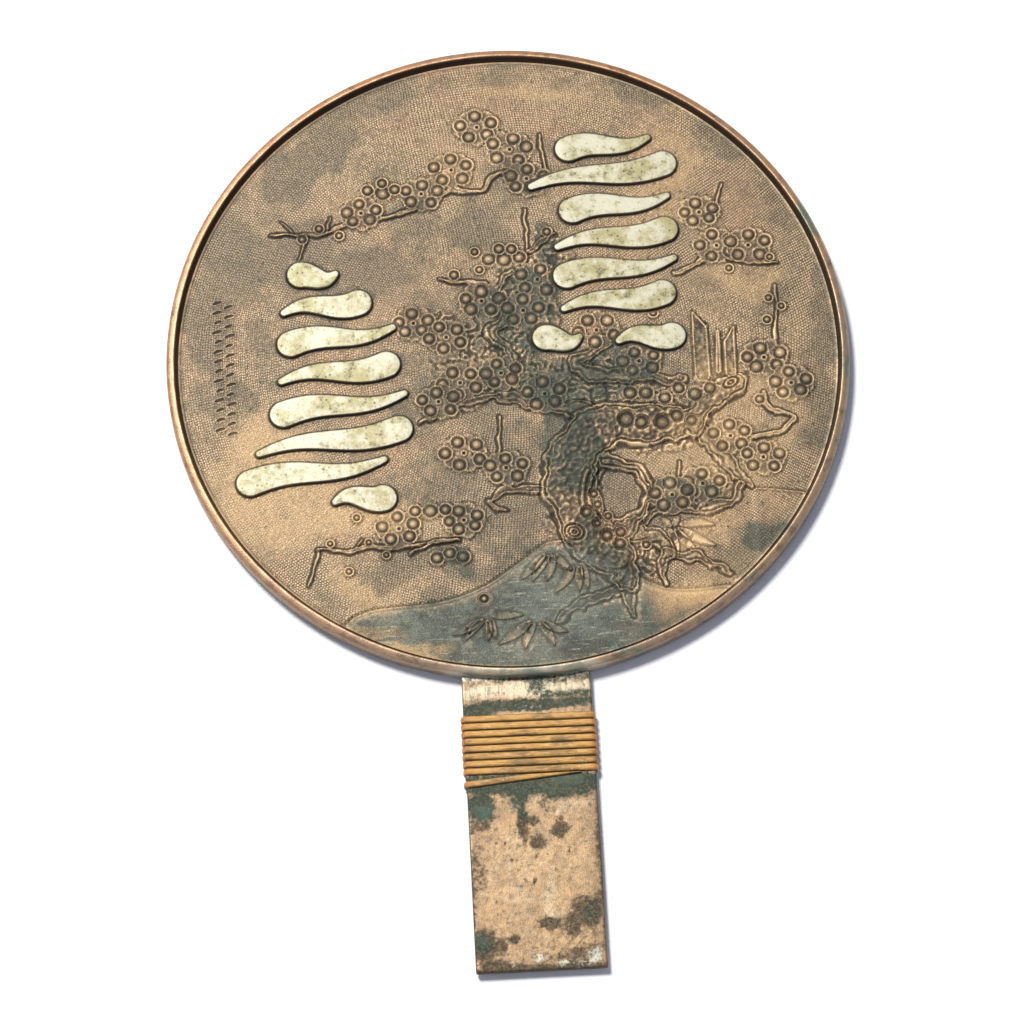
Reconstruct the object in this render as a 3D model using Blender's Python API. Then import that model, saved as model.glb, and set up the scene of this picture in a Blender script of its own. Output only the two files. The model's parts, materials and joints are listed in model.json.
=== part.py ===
"""Cast bronze hand mirror, lying on its polished face, with a cane binding on its handle.

The handle runs along -Y, and the decorated back faces +Z. The origin is under the middle of the
whole length, level with the lowest point of the slightly domed polished face. The shapes are
drawn round the disc's own centre and then moved along Y. All sizes are in metres.
"""
import math

import bmesh
import bpy
import numpy as np
from mathutils import Vector
from mathutils.geometry import delaunay_2d_cdt

# Disc, plate and rim.
DISC_DIAMETER = 0.212
FACE_DOME = 0.0011          # how far the polished face bulges below its own edge
FACE_FLAT = 0.26            # share of the radius that is flat in the middle of that face
PLATE_THICKNESS = 0.0027    # from the face's edge to the recessed field
RIM_HEIGHT = 0.0024         # crest of the rim above the field
RIM_WIDTH = 0.0023          # from the inner crest to the outer wall
RIM_SLOPE_RUN = 0.0013      # how far the rim's inner wall leans
RIM_TOP_FALL = 0.0003       # the flat top falls outwards by this much
RIM_SHOULDER = 0.0008       # width of the rounded outer edge
RIM_SHOULDER_FALL = 0.0009  # drop of the rounded outer edge

# Handle.
HANDLE_WIDTH = 0.039
HANDLE_LENGTH = 0.0915      # beyond the disc
HANDLE_THICKNESS = 0.0024
EDGE_CHAMFER = 0.0005
RIM_FOOT_RUN = 0.0003       # lean of the small wall between rim and handle

# Cane binding.
CANE_WIDTH = 0.00216
CANE_THICKNESS = 0.0008
CANE_PITCH = 0.00237
CANE_GAP = 0.0003           # between the cane and the bronze
CANE_TURNS = 8
CANE_START = 0.0125         # first turn's middle, measured from the disc's edge
CANE_BEND = 0.0013          # radius of the strip's middle line round the handle's edge
CANE_SLIVER = 0.3           # half width of the tail's tip, as a share of the strip's
CANE_CROWN = 0.3            # how much of the strip's outer side is rounded off
CANE_CROWN_LOW = 0.35       # height at which that rounding starts
CANE_TOP_DRIFT = 0.00030    # how far a turn moves on while it crosses the back
CANE_STUB = 0.005           # start of the strip, lying under the handle
TAIL_REACH = 0.0335         # how far the tucked tail runs across the handle
TAIL_DROP = 0.0037          # the tail's middle, below the eighth turn, where it starts

# Heights of the relief above the field.
STROKE_RISE = 0.0009
STROKE_RUN = 0.00018
TRUNK_RISE = 0.0011
BRANCH_RISE = 0.0008
TWIG_RISE = 0.0004
PETAL_RISE = 0.0008
LEAF_RISE = 0.0004
HILL_RISE = 0.0004
COLUMN_DEPTH = 0.0003
TRUNK_RUN = 0.0014          # width of the slope at a shape's edge
LIMB_RUN = 0.0007
SMALL_RUN = 0.00035

# Fineness of the faceting.
DISC_SIDES = 84
FOOT_STEPS = 12
UNDER_RINGS = ((0.96, 42), (0.72, 28), (0.48, 21), (FACE_FLAT, 12))  # share of the radius, sides
TAIL_STEPS = 6
PETAL_SIDES = 6
CROWN_SIDES = 3
CANE_BEND_STEPS = 2
LIMB_SPACING = 7.0
WELD = 0.00001

disc_radius = DISC_DIAMETER / 2
square = disc_radius / 106  # the relief is drawn on a grid, 106 squares from the centre to the edge
face_edge_z = FACE_DOME
field_z = face_edge_z + PLATE_THICKNESS
handle_top_z = face_edge_z + HANDLE_THICKNESS
crest_z = field_z + RIM_HEIGHT
handle_end_y = -disc_radius - HANDLE_LENGTH
half_handle = HANDLE_WIDTH / 2
centre_shift = HANDLE_LENGTH / 2

rim_radii = (
    disc_radius - RIM_WIDTH - RIM_SLOPE_RUN,
    disc_radius - RIM_WIDTH,
    disc_radius - RIM_SHOULDER,
    disc_radius,
    disc_radius + RIM_FOOT_RUN,
)
rim_heights = (
    field_z,
    crest_z,
    crest_z - RIM_TOP_FALL,
    crest_z - RIM_TOP_FALL - RIM_SHOULDER_FALL,
    handle_top_z,
)

# The relief, on the grid of squares: x to the right, y away from the handle.
# Plum blossoms seen from the front: the middle of each, and how far it is turned, in degrees.
BLOSSOMS = (
    (-14.6, 65.0, 0), (-24.4, 57.2, 0), (-43.6, 51.5, 4), (-5.8, 79.6, 0), (4.2, 71.3, -12),
    (9.0, 60.8, 0),
    (-28.8, 12.7, 0), (-18.8, 7.4, 20), (10.6, 25.7, -8), (-7.2, 19.2, 0), (5.6, 15.3, -6),
    (-15.2, -8.2, 25), (-22.2, -14.2, 10), (-2.4, -5.6, 12), (10.8, -13.3, 0),
    (28.0, 7.4, 30), (40.6, -3.8, 18), (62.6, 46.2, 8), (67.3, 34.4, 10), (77.2, 34.0, 0),
    (79.4, -4.6, 12), (87.2, -13.6, 0), (67.2, -30.4, 0), (76.8, -38.0, 0), (57.6, -45.8, 0),
    (48.0, -49.0, 0),
    (-15.2, -31.8, 20), (-2.4, -37.4, 6), (-16.2, -54.0, 14), (-36.2, -55.8, 0),
)
PETAL_REACH = (5.1, 3.6)
PETAL_SIZE = 2.15

# Blossoms seen from the side, and buds: single domes, with their size.
PEARLS = (
    (-41.3, 59.3, 1.7), (-36.5, 58.0, 2.3), (-36.6, 61.6, 1.5), (-32.7, 59.2, 1.6),
    (-4.3, 33.5, 2.1), (0.5, 33.0, 2.3), (5.3, 33.6, 1.9), (-0.9, 36.9, 1.6), (3.0, 36.6, 1.6),
    (-31.0, -50.2, 1.7), (-26.3, -50.4, 2.2), (-21.7, -50.2, 1.7),
    (35.6, -23.2, 2.3), (40.0, -24.4, 1.8), (46.6, -24.8, 2.1), (51.2, -22.8, 1.8), (55.6, -24.6, 1.6),
    (37.2, -14.4, 2.0), (42.1, -14.6, 2.1), (47.8, -16.6, 1.9), (52.3, -13.6, 1.8),
    (57.2, -15.7, 2.2), (62.0, -14.0, 1.8), (27.3, -61.4, 1.6), (31.5, -60.5, 1.5),
    (31.2, -64.3, 1.6), (77.0, -18.6, 1.4), (-11.3, -80.0, 1.2), (-57.0, 46.8, 1.3),
    (-62.4, 43.4, 1.3), (-50.8, 44.1, 1.2), (82.2, 15.6, 1.1), (86.0, 12.6, 1.0),
    (81.2, 8.2, 1.2), (-15.4, 28.6, 1.5),
)

# Wood: the middle line of each limb as (x, y, half width), thick trunk first.
TRUNK = (
    ((33, -78, 3.0), (30, -70, 6.0), (25, -64, 8.5), (20, -57, 8.0), (18, -49, 8.6),
     (17, -40, 8.4), (21, -31, 8.0), (29, -25, 7.6), (38, -25, 6.8), (48, -25, 6.0), (57, -25, 4.2)),
    ((56, -24, 4.0), (62, -18, 3.8), (70, -13, 3.4)),
    ((29, -37, 2.4), (35, -38.5, 2.0), (39.6, -42.5, 1.9), (41, -49, 1.8), (38, -55, 2.2),
     (31, -60, 4.0)),
)
LIMBS = (
    ((56, -26, 3.0), (60, -32, 2.4), (65, -38, 2.0), (69.5, -45, 1.6), (72.5, -48.2, 0.8)),
    ((69.5, -46, 1.2), (66, -51.5, 1.4), (58, -54.5, 1.5), (50, -53.6, 1.3), (42, -54.6, 1.3),
     (36, -59, 1.8)),
    ((10, -45.5, 1.6), (2, -44.4, 1.2), (-4, -45.6, 1.1), (-8.4, -48.4, 1.0), (-3, -51.6, 0.6)),
    ((33, -76, 2.6), (29, -80, 2.0), (20, -82.5, 1.8), (11, -88.5, 0.8)),
    ((32, -76, 2.4), (33, -82, 1.6), (34.5, -88, 0.7)),
    ((36, -61, 3.4), (43, -63, 2.4), (47, -68.5, 2.0), (55, -70, 1.8), (64, -76, 0.8)),
    ((46, -68, 1.8), (43, -72, 1.3), (44.5, -78, 0.7)),
    ((24, -20, 3.2), (14, -18, 2.6), (6, -15.4, 2.2), (-3, -13.6, 1.5), (-12, -14.4, 1.1),
     (-28, -21, 0.6)),
    ((-1, -10, 1.8), (1, 0, 1.6), (-4, 8, 1.8), (0.5, 15, 1.5), (-2.5, 23, 1.2), (3, 29, 0.7)),
    ((54, -11, 1.6), (42, -9.4, 1.6), (30, -8, 2.4), (21, -3, 2.2), (32, 2.4, 1.0)),
    ((15, 60.4, 1.0), (3, 63.4, 0.9), (-2, 61.4, 0.9), (-5.6, 57.0, 0.9), (-16, 57.6, 0.9),
     (-26, 52.4, 0.9), (-36, 49.8, 0.8), (-50, 47.4, 0.9), (-56, 44.8, 0.7), (-72, 45.4, 0.4)),
    ((54, 25.4, 0.7), (60, 28.2, 1.0), (66, 31.0, 0.9), (75, 28.6, 0.9), (86, 27.4, 0.4)),
    ((78.6, -16, 0.6), (79.6, -21.4, 0.9), (87.4, -25.4, 1.0), (81.4, -30.4, 1.0), (73, -31.0, 0.8)),
    ((-61, -61.4, 0.6), (-52, -62.4, 0.8), (-45, -61.2, 0.7), (-38, -62.0, 0.8), (-18, -60.4, 0.5)),
    ((-20, 27.8, 0.5), (-12, 25.6, 0.9), (-6, 25.2, 0.9)),
)
TWIGS = (
    ((8.0, 50, 0.3), (7.6, 33, 0.6)),
    ((14.0, 76, 0.3), (15.4, 60, 0.6)),
    ((84.6, 20, 0.3), (83.2, -1, 0.6)),
    ((-60.6, 44, 0.4), (-64.6, 34, 0.3)),
    ((-60.8, -62, 0.5), (-64.6, -73, 0.3)),
    ((70.4, 56, 0.3), (67.4, 46, 0.5)),
    ((51.2, -38, 0.3), (50.0, -45, 0.6)),
    ((-3.6, -20, 0.3), (-4.6, -34, 0.6)),
)
# Broken uprights: pointed stubs standing beside the trunk, as (x, y, half width) from root to tip.
STUBS = (
    ((60.0, -9.5, 2.6), (60.0, 6.0, 2.5), (58.2, 11.8, 0.5)),
    ((65.0, -8.5, 1.0), (65.6, 5.0, 0.7)),
    ((68.8, -9.0, 1.9), (69.0, 1.0, 1.9), (70.6, 6.2, 0.5)),
)
# Bamboo grass: root of each tuft, the first leaf's direction, the last one's, and the leaf length.
TUFTS = (
    ((12, -66), 215, 330, 11.0),
    ((48, -60), 285, 360, 11.0),
    ((-9, -87), 195, 285, 11.0),
    ((3, -87.5), 225, 335, 10.0),
)
TUFT_LEAVES = 5
LEAF_HALF_WIDTH = 1.1
LEAF_SHAPE = ((0.12, 0.3), (0.55, 1.0), (0.98, 0.15))  # share of the length, share of the half width

# Hills: the crest line of each, from left to right. The ground in front of the line is raised.
NEAR_HILL = (
    (-56, -90), (-52, -85), (-44, -82), (-25, -80.6), (-11, -76.2), (0, -69), (11, -62.4),
    (24, -68), (44, -79.4), (64, -79.8), (72, -82),
)
FAR_HILL = ((64, -76), (58, -70), (60, -60), (70, -50), (75, -48.4), (92, -51))

# Two groups of raised strokes: each row's left end, right end and height on the grid.
STROKE_ROWS = (
    ((19, 49, 71), (8.5, 56, 61), (19, 54, 50), (16, 55, 39), (16, 55, 28), (17, 53, 17.5),
     (8.5, 23, 4.5), (34, 55, 4.5)),
    ((-67, -52, 30), (-70, -42, 20), (-71, -34, 9), (-72, -34, -2.5), (-74, -31, -14), (-80, -31, -25.5),
     (-85, -38, -36), (-56, -37, -45)),
)
STROKE_SLANT = 0.17
STROKE_HALF_WIDTH = 4.5
STROKE_WAVE = 1.6
STROKE_TAPER = 0.72
STROKE_STEPS = 7

# A narrow column of short shallow cuts beside the left group: each end of the two cuts in a
# row as (x, y, half width), measured from the row's own middle.
COLUMN_ROWS = 9
COLUMN_TOP = 23.0
COLUMN_STEP = 5.4
COLUMN_X = -88.0
COLUMN_SWAY = 1.2           # the short cut lies this far left and right of the middle by turns
LONG_CUT = ((-2.8, -0.4, 0.35), (2.8, 0.6, 0.55))
SHORT_CUT = ((-0.9, -1.4, 0.45), (0.9, -2.9, 0.3))


def ring(x, y, radius_x, radius_y, sides, phase=0.0):
    """Points of an upright ellipse."""
    angles = [phase + 2 * math.pi * i / sides for i in range(sides)]
    return [(x + radius_x * math.cos(a), y + radius_y * math.sin(a)) for a in angles]


def smooth_route(points, spacing):
    """Read a smooth curve through the given rows of numbers, about spacing apart in x and y."""
    rows = [points[0], *points, points[-1]]
    out = []
    for a, b, c, d in zip(rows, rows[1:], rows[2:], rows[3:]):
        steps = max(1, round(math.dist(b[:2], c[:2]) / spacing))
        for i in range(steps):
            t = i / steps
            before, here = 2 * t ** 2 - t - t ** 3, 2 - 5 * t ** 2 + 3 * t ** 3
            after, last = t + 4 * t ** 2 - 3 * t ** 3, t ** 3 - t ** 2
            out.append(tuple(
                (before * p + here * q + after * r + last * s) / 2 for p, q, r, s in zip(a, b, c, d)
            ))
    out.append(tuple(points[-1]))
    return out


def band_outline(route, shrink=0.0, cap_steps=3):
    """Closed outline round a route of (x, y, half width), with rounded ends."""
    left, right = [], []
    for i, (x, y, half) in enumerate(route):
        x0, y0 = route[max(i - 1, 0)][:2]
        x1, y1 = route[min(i + 1, len(route) - 1)][:2]
        length = math.dist((x0, y0), (x1, y1))
        nx, ny = -(y1 - y0) / length, (x1 - x0) / length
        w = max(half - shrink, 0.25 * half)
        left.append((x + nx * w, y + ny * w))
        right.append((x - nx * w, y - ny * w))
    caps = []
    for (x, y, half), start in ((route[-1], left[-1]), (route[0], right[0])):
        w = max(half - shrink, 0.25 * half)
        first = math.atan2(start[1] - y, start[0] - x)
        angles = [first - math.pi * k / (cap_steps + 1) for k in range(1, cap_steps + 1)]
        caps.append([(x + w * math.cos(a), y + w * math.sin(a)) for a in angles])
    return left + caps[0] + right[::-1] + caps[1]


def band_depth(px, py, route):
    """How far each point lies inside a band, negative outside."""
    best = np.full(px.shape, -1e9)
    for (x0, y0, w0), (x1, y1, w1) in zip(route, route[1:]):
        dx, dy = x1 - x0, y1 - y0
        t = np.clip(((px - x0) * dx + (py - y0) * dy) / (dx * dx + dy * dy), 0, 1)
        away = np.hypot(px - x0 - t * dx, py - y0 - t * dy)
        best = np.maximum(best, w0 + t * (w1 - w0) - away)
    return best


class Relief:
    """Lines that the faceting has to follow, and the height functions of the shapes that they bound."""

    def __init__(self):
        self.lines = []
        self.raised = []
        self.sunk = []

    def line(self, points, closed=False):
        self.lines.append(([(x * square, y * square) for x, y in points], closed))

    def dome(self, x, y, size, rise):
        """Low round boss."""
        self.line(ring(x, y, size, size, PETAL_SIDES), closed=True)
        self.line(ring(x, y, 0.5 * size, 0.5 * size, CROWN_SIDES, math.pi / PETAL_SIDES), closed=True)

        def height(px, py):
            away = ((px - x) ** 2 + (py - y) ** 2) / size ** 2
            return rise * np.sqrt(np.clip(1 - away, 0, 1))

        self.raised.append(height)

    def band(self, route, rise, run, cap_steps=3, sunk=False):
        """Raised or sunk band with a flat top, or a ridge where run is as wide as the band."""
        run = run / square
        self.line(band_outline(route, 0.0, cap_steps), closed=True)
        if run < 0.75 * max(half for _, _, half in route):
            self.line(band_outline(route, run, cap_steps), closed=True)
        else:
            self.line([(x, y) for x, y, _ in route])
        group = self.sunk if sunk else self.raised
        group.append(lambda px, py: rise * np.clip(band_depth(px, py, route) / run, 0, 1))

    def ground(self, crest, rise, run):
        """Raised ground in front of a crest line, out to the rim."""
        run = run / square
        route = [(x, y, 0.0) for x, y in smooth_route(crest, LIMB_SPACING)]
        reach = (rim_radii[0] / square) * 0.999
        inside = [p for p in route if math.hypot(p[0], p[1]) < reach]
        self.line([(x, y) for x, y, _ in inside])
        self.line([(x, y - run) for x, y, _ in inside])
        xs = [p[0] for p in route]
        ys = [p[1] for p in route]
        order = np.argsort(xs)
        xs, ys = np.array(xs)[order], np.array(ys)[order]

        def height(px, py):
            crest_y = np.interp(px, xs, ys, left=-1e3, right=-1e3)
            return rise * np.clip((crest_y - py) / run, 0, 1)

        self.raised.append(height)

    def height(self, x, y):
        """Height above the field at plane points in metres."""
        px, py = np.asarray(x) / square, np.asarray(y) / square
        top = np.max([f(px, py) for f in self.raised], axis=0)
        cut = np.max([f(px, py) for f in self.sunk], axis=0)
        return top - cut


def stroke_route(left, right, middle_y, head_left):
    """One tapering stroke: a round head, a slight wave and a thin tail."""
    rise = STROKE_SLANT * (right - left) / 2
    ends = ((left, middle_y - rise), (right, middle_y + rise))
    if not head_left:
        ends = ends[::-1]
    (x0, y0), (x1, y1) = ends
    length = math.dist(*ends)
    widest = min(STROKE_HALF_WIDTH, 0.3 * length)
    nx, ny = -(y1 - y0) / length, (x1 - x0) / length
    start, stop = 0.9 * widest / length, 0.96
    route = []
    for i in range(STROKE_STEPS + 1):
        t = start + (stop - start) * i / STROKE_STEPS
        wave = STROKE_WAVE * math.sin(2 * math.pi * t)
        share = (t - start) / (stop - start)
        half = widest * (1 - STROKE_TAPER * share ** 1.4)
        route.append((x0 + (x1 - x0) * t + nx * wave, y0 + (y1 - y0) * t + ny * wave, half))
    return route


def draw_relief():
    """Everything that stands on or is cut into the recessed field."""
    relief = Relief()
    for rows in STROKE_ROWS:
        for i, (left, right, middle) in enumerate(rows):
            relief.band(stroke_route(left, right, middle, i % 2 == 0), STROKE_RISE, STROKE_RUN)
    for route in TRUNK:
        relief.band(smooth_route(route, LIMB_SPACING), TRUNK_RISE, TRUNK_RUN)
    for route in LIMBS:
        relief.band(smooth_route(route, LIMB_SPACING), BRANCH_RISE, LIMB_RUN, cap_steps=1)
    for route in STUBS:
        relief.band(route, BRANCH_RISE, SMALL_RUN, cap_steps=1)
    for route in TWIGS:
        relief.band(route, TWIG_RISE, SMALL_RUN, cap_steps=1)
    for x, y, turn in BLOSSOMS:
        petals = ring(0, 0, 1, 1, 5, math.pi / 2 + math.radians(turn))
        for u, v in petals:
            relief.dome(x + u * PETAL_REACH[0], y + v * PETAL_REACH[1], PETAL_SIZE, PETAL_RISE)
    for x, y, size in PEARLS:
        relief.dome(x, y, size, PETAL_RISE)
    for (x, y), first, last, length in TUFTS:
        for k in range(TUFT_LEAVES):
            a = math.radians(first + (last - first) * k / (TUFT_LEAVES - 1))
            u, v = math.cos(a), math.sin(a)
            leaf = [(x + u * length * t, y + v * length * t, LEAF_HALF_WIDTH * w) for t, w in LEAF_SHAPE]
            relief.band(leaf, LEAF_RISE, LIMB_RUN, cap_steps=1)
    relief.ground(NEAR_HILL, HILL_RISE, LIMB_RUN)
    relief.ground(FAR_HILL, HILL_RISE, LIMB_RUN)
    for row in range(COLUMN_ROWS):
        middle_y = COLUMN_TOP - COLUMN_STEP * row
        sway = -COLUMN_SWAY if row % 2 else COLUMN_SWAY
        for cut, middle_x in ((LONG_CUT, COLUMN_X), (SHORT_CUT, COLUMN_X + sway)):
            route = [(middle_x + x, middle_y + y, half) for x, y, half in cut]
            relief.band(route, COLUMN_DEPTH, SMALL_RUN, cap_steps=1, sunk=True)
    return relief


def triangulate(lines):
    """Triangles over the plane that follow every line, with the outline given first."""
    points, edges = [], []
    for line, closed in lines:
        base = len(points)
        points += [Vector(p) for p in line]
        edges += [(base + i, base + i + 1) for i in range(len(line) - 1)]
        if closed:
            edges.append((base + len(line) - 1, base))
    verts, _, faces, _, _, _ = delaunay_2d_cdt(points, edges, [], 0, WELD)
    return verts, faces


def inside_plan(x, y):
    """Whether a plane point lies on the disc or the handle."""
    on_disc = math.hypot(x, y) < disc_radius
    on_handle = abs(x) < half_handle and handle_end_y < y < 0
    return on_disc or on_handle


def plan_outline():
    """Outline of disc and handle together."""
    neck = math.asin(half_handle / disc_radius)
    start = -math.pi / 2 + neck
    stop = 1.5 * math.pi - neck
    arc = [start + (stop - start) * i / DISC_SIDES for i in range(DISC_SIDES + 1)]
    disc = [(disc_radius * math.cos(a), disc_radius * math.sin(a)) for a in arc]
    return disc + [(-half_handle, handle_end_y), (half_handle, handle_end_y)]


def top_height(relief, x, y):
    """Height of the decorated back at plane points."""
    radius = np.hypot(x, y)
    edge = np.minimum(half_handle - np.abs(x), y - handle_end_y)
    handle = handle_top_z - EDGE_CHAMFER + np.clip(edge, 0, EDGE_CHAMFER)
    rim = np.interp(radius, rim_radii, rim_heights)
    field = field_z + relief.height(x, y)
    low = np.where(radius <= rim_radii[0] + WELD, field, rim)
    return np.where(radius < rim_radii[4] - WELD, low, handle)


def under_height(x, y):
    """Height of the polished face at plane points."""
    radius = np.hypot(x, y)
    edge = np.minimum(half_handle - np.abs(x), y - handle_end_y)
    handle = face_edge_z + EDGE_CHAMFER - np.clip(edge, 0, EDGE_CHAMFER)
    share = np.clip(((radius / disc_radius) ** 2 - FACE_FLAT ** 2) / (1 - FACE_FLAT ** 2), 0, 1)
    face = face_edge_z - FACE_DOME * (1 - share)
    return np.where(radius <= disc_radius + WELD, face, handle)


def handle_line(inset):
    """Line along the handle's edges, a little inside its outline."""
    x = half_handle - inset
    y = -math.sqrt((disc_radius + RIM_FOOT_RUN) ** 2 - x ** 2)
    return [(-x, y), (-x, handle_end_y + inset), (x, handle_end_y + inset), (x, y)]


def make_casting():
    """Disc, rim, relief and handle as one closed solid."""
    relief = draw_relief()
    outline = plan_outline()
    top_lines = [(outline, True), *relief.lines, (handle_line(EDGE_CHAMFER), False)]
    for radius in rim_radii[:3]:
        top_lines.append((ring(0, 0, radius, radius, DISC_SIDES), True))
    for radius in rim_radii[3:]:
        spread = math.asin(half_handle / radius)
        arc = [-math.pi / 2 - spread + 2 * spread * i / FOOT_STEPS for i in range(FOOT_STEPS + 1)]
        top_lines.append(([(radius * math.cos(a), radius * math.sin(a)) for a in arc], False))

    bm = bmesh.new()
    verts, faces = triangulate(top_lines)
    xs = np.array([v.x for v in verts], dtype=float)
    ys = np.array([v.y for v in verts], dtype=float)
    zs = top_height(relief, xs, ys)
    made = [bm.verts.new(p) for p in zip(xs, ys, zs)]
    for face in faces:
        middle_x = sum(verts[i].x for i in face) / 3
        middle_y = sum(verts[i].y for i in face) / 3
        if inside_plan(middle_x, middle_y):
            bm.faces.new([made[i] for i in face])
    bmesh.ops.delete(bm, geom=[v for v in bm.verts if not v.link_faces], context='VERTS')

    rim_edges = [e for e in bm.edges if e.is_boundary]
    wall = bmesh.ops.extrude_edge_only(bm, edges=rim_edges)
    low = [g for g in wall['geom'] if isinstance(g, bmesh.types.BMVert)]
    for v in low:
        v.co.z = float(under_height(v.co.x, v.co.y))

    edge_verts = walk_loop(low)
    under_lines = [([(v.co.x, v.co.y) for v in edge_verts], True), (handle_line(EDGE_CHAMFER), False)]
    for share, sides in UNDER_RINGS:
        under_lines.append((ring(0, 0, share * disc_radius, share * disc_radius, sides), True))
    verts, faces = triangulate(under_lines)
    count = len(edge_verts)
    made = edge_verts + [
        bm.verts.new((v.x, v.y, float(under_height(v.x, v.y)))) for v in verts[count:]
    ]
    for face in faces:
        middle_x = sum(verts[i].x for i in face) / 3
        middle_y = sum(verts[i].y for i in face) / 3
        if inside_plan(middle_x, middle_y):
            bm.faces.new([made[i] for i in reversed(face)])
    bmesh.ops.recalc_face_normals(bm, faces=bm.faces)
    return bm


def walk_loop(loose):
    """Vertices of a boundary loop in order."""
    wanted = set(loose)
    first = loose[0]
    order = [first]
    before = None
    here = first
    while True:
        for edge in here.link_edges:
            other = edge.other_vert(here)
            if edge.is_boundary and other in wanted and other is not before:
                break
        if other is first:
            return order
        order.append(other)
        before, here = here, other


def cane_stations():
    """Middle line of the cane strip as (x, y, z, outward x, outward z, half width)."""
    reach_x = half_handle + CANE_GAP + CANE_THICKNESS / 2
    reach_z = HANDLE_THICKNESS / 2 + CANE_GAP + CANE_THICKNESS / 2
    bend = min(CANE_BEND, reach_z)
    middle_z = face_edge_z + HANDLE_THICKNESS / 2
    half = CANE_WIDTH / 2
    under_drift = CANE_PITCH - CANE_TOP_DRIFT
    first_y = -disc_radius - CANE_START
    stations = []

    def corner(sign_x, sign_z, start_angle, y):
        for k in range(CANE_BEND_STEPS + 1):
            a = start_angle - (math.pi / 2) * k / CANE_BEND_STEPS
            cx = sign_x * (reach_x - bend)
            cz = middle_z + sign_z * (reach_z - bend)
            u, v = math.cos(a), math.sin(a)
            stations.append((cx + bend * u, y, cz + bend * v, u, v, half))

    left_x = -(reach_x - bend)
    stub_y = first_y + under_drift * CANE_STUB / (2 * reach_x)
    stations.append((left_x + CANE_STUB, stub_y, middle_z - reach_z, 0, -1, half))
    for turn in range(CANE_TURNS + 1):
        y = first_y - CANE_PITCH * turn
        if turn == CANE_TURNS:
            y = first_y - CANE_PITCH * (CANE_TURNS - 1) - CANE_TOP_DRIFT - TAIL_DROP
        corner(-1, -1, -math.pi / 2, y)
        corner(-1, 1, math.pi, y)
        if turn == CANE_TURNS:
            break
        y -= CANE_TOP_DRIFT
        corner(1, 1, math.pi / 2, y)
        corner(1, -1, 0.0, y)

    last_y = first_y - CANE_PITCH * (CANE_TURNS - 1) - CANE_TOP_DRIFT
    last_edge = last_y + half - CANE_PITCH
    for k in range(1, TAIL_STEPS + 1):
        t = k / TAIL_STEPS
        lower = y - half + (last_edge - CANE_SLIVER * half - y + half) * t
        upper = min(y + half + (TAIL_DROP - half) * t, last_edge)
        middle = (upper + lower) / 2
        width = (upper - lower) / 2
        stations.append((left_x + TAIL_REACH * t, middle, middle_z + reach_z, 0, 1, width))
    return stations


def make_binding():
    """One flat strip of split cane, wound round the handle, as one closed solid."""
    bm = bmesh.new()
    rings = []
    h = CANE_THICKNESS / 2
    section = (
        (-1, -h), (1, -h), (1, CANE_CROWN_LOW * h), (1 - CANE_CROWN, h),
        (CANE_CROWN - 1, h), (-1, CANE_CROWN_LOW * h),
    )
    for x, y, z, out_x, out_z, half in cane_stations():
        rings.append([bm.verts.new((x + out_x * w, y + v * half, z + out_z * w)) for v, w in section])
    for a, b in zip(rings, rings[1:]):
        count = len(a)
        for i in range(count):
            j = (i + 1) % count
            bm.faces.new((a[i], a[j], b[j], b[i]))
    bm.faces.new(rings[0][::-1])
    bm.faces.new(rings[-1])
    bmesh.ops.recalc_face_normals(bm, faces=bm.faces)
    return bm


def material(name, color, metallic, roughness):
    """Principled material."""
    mat = bpy.data.materials.new(name)
    mat.use_nodes = True
    shader = mat.node_tree.nodes['Principled BSDF']
    shader.inputs['Base Color'].default_value = (*color, 1.0)
    shader.inputs['Metallic'].default_value = metallic
    shader.inputs['Roughness'].default_value = roughness
    return mat


def add_object(name, bm, mat):
    """Put a finished mesh in the scene under its name."""
    mesh = bpy.data.meshes.new(name)
    bm.to_mesh(mesh)
    bm.free()
    mesh.materials.append(mat)
    mesh.shade_smooth()
    mesh.set_sharp_from_angle(angle=math.radians(35))
    obj = bpy.data.objects.new(name, mesh)
    obj.location.y = centre_shift
    bpy.context.scene.collection.objects.link(obj)
    return obj


def main():
    for obj in list(bpy.data.objects):
        bpy.data.objects.remove(obj, do_unlink=True)
    add_object('bronze_mirror', make_casting(), material('bronze', (0.42, 0.30, 0.19), 1.0, 0.42))
    add_object('cane_binding', make_binding(), material('cane', (0.62, 0.33, 0.09), 0.0, 0.5))


main()
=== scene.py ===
import json
import math
import time

import bpy
import numpy as np
from mathutils import Matrix, Vector
from mathutils.geometry import delaunay_2d_cdt

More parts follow.
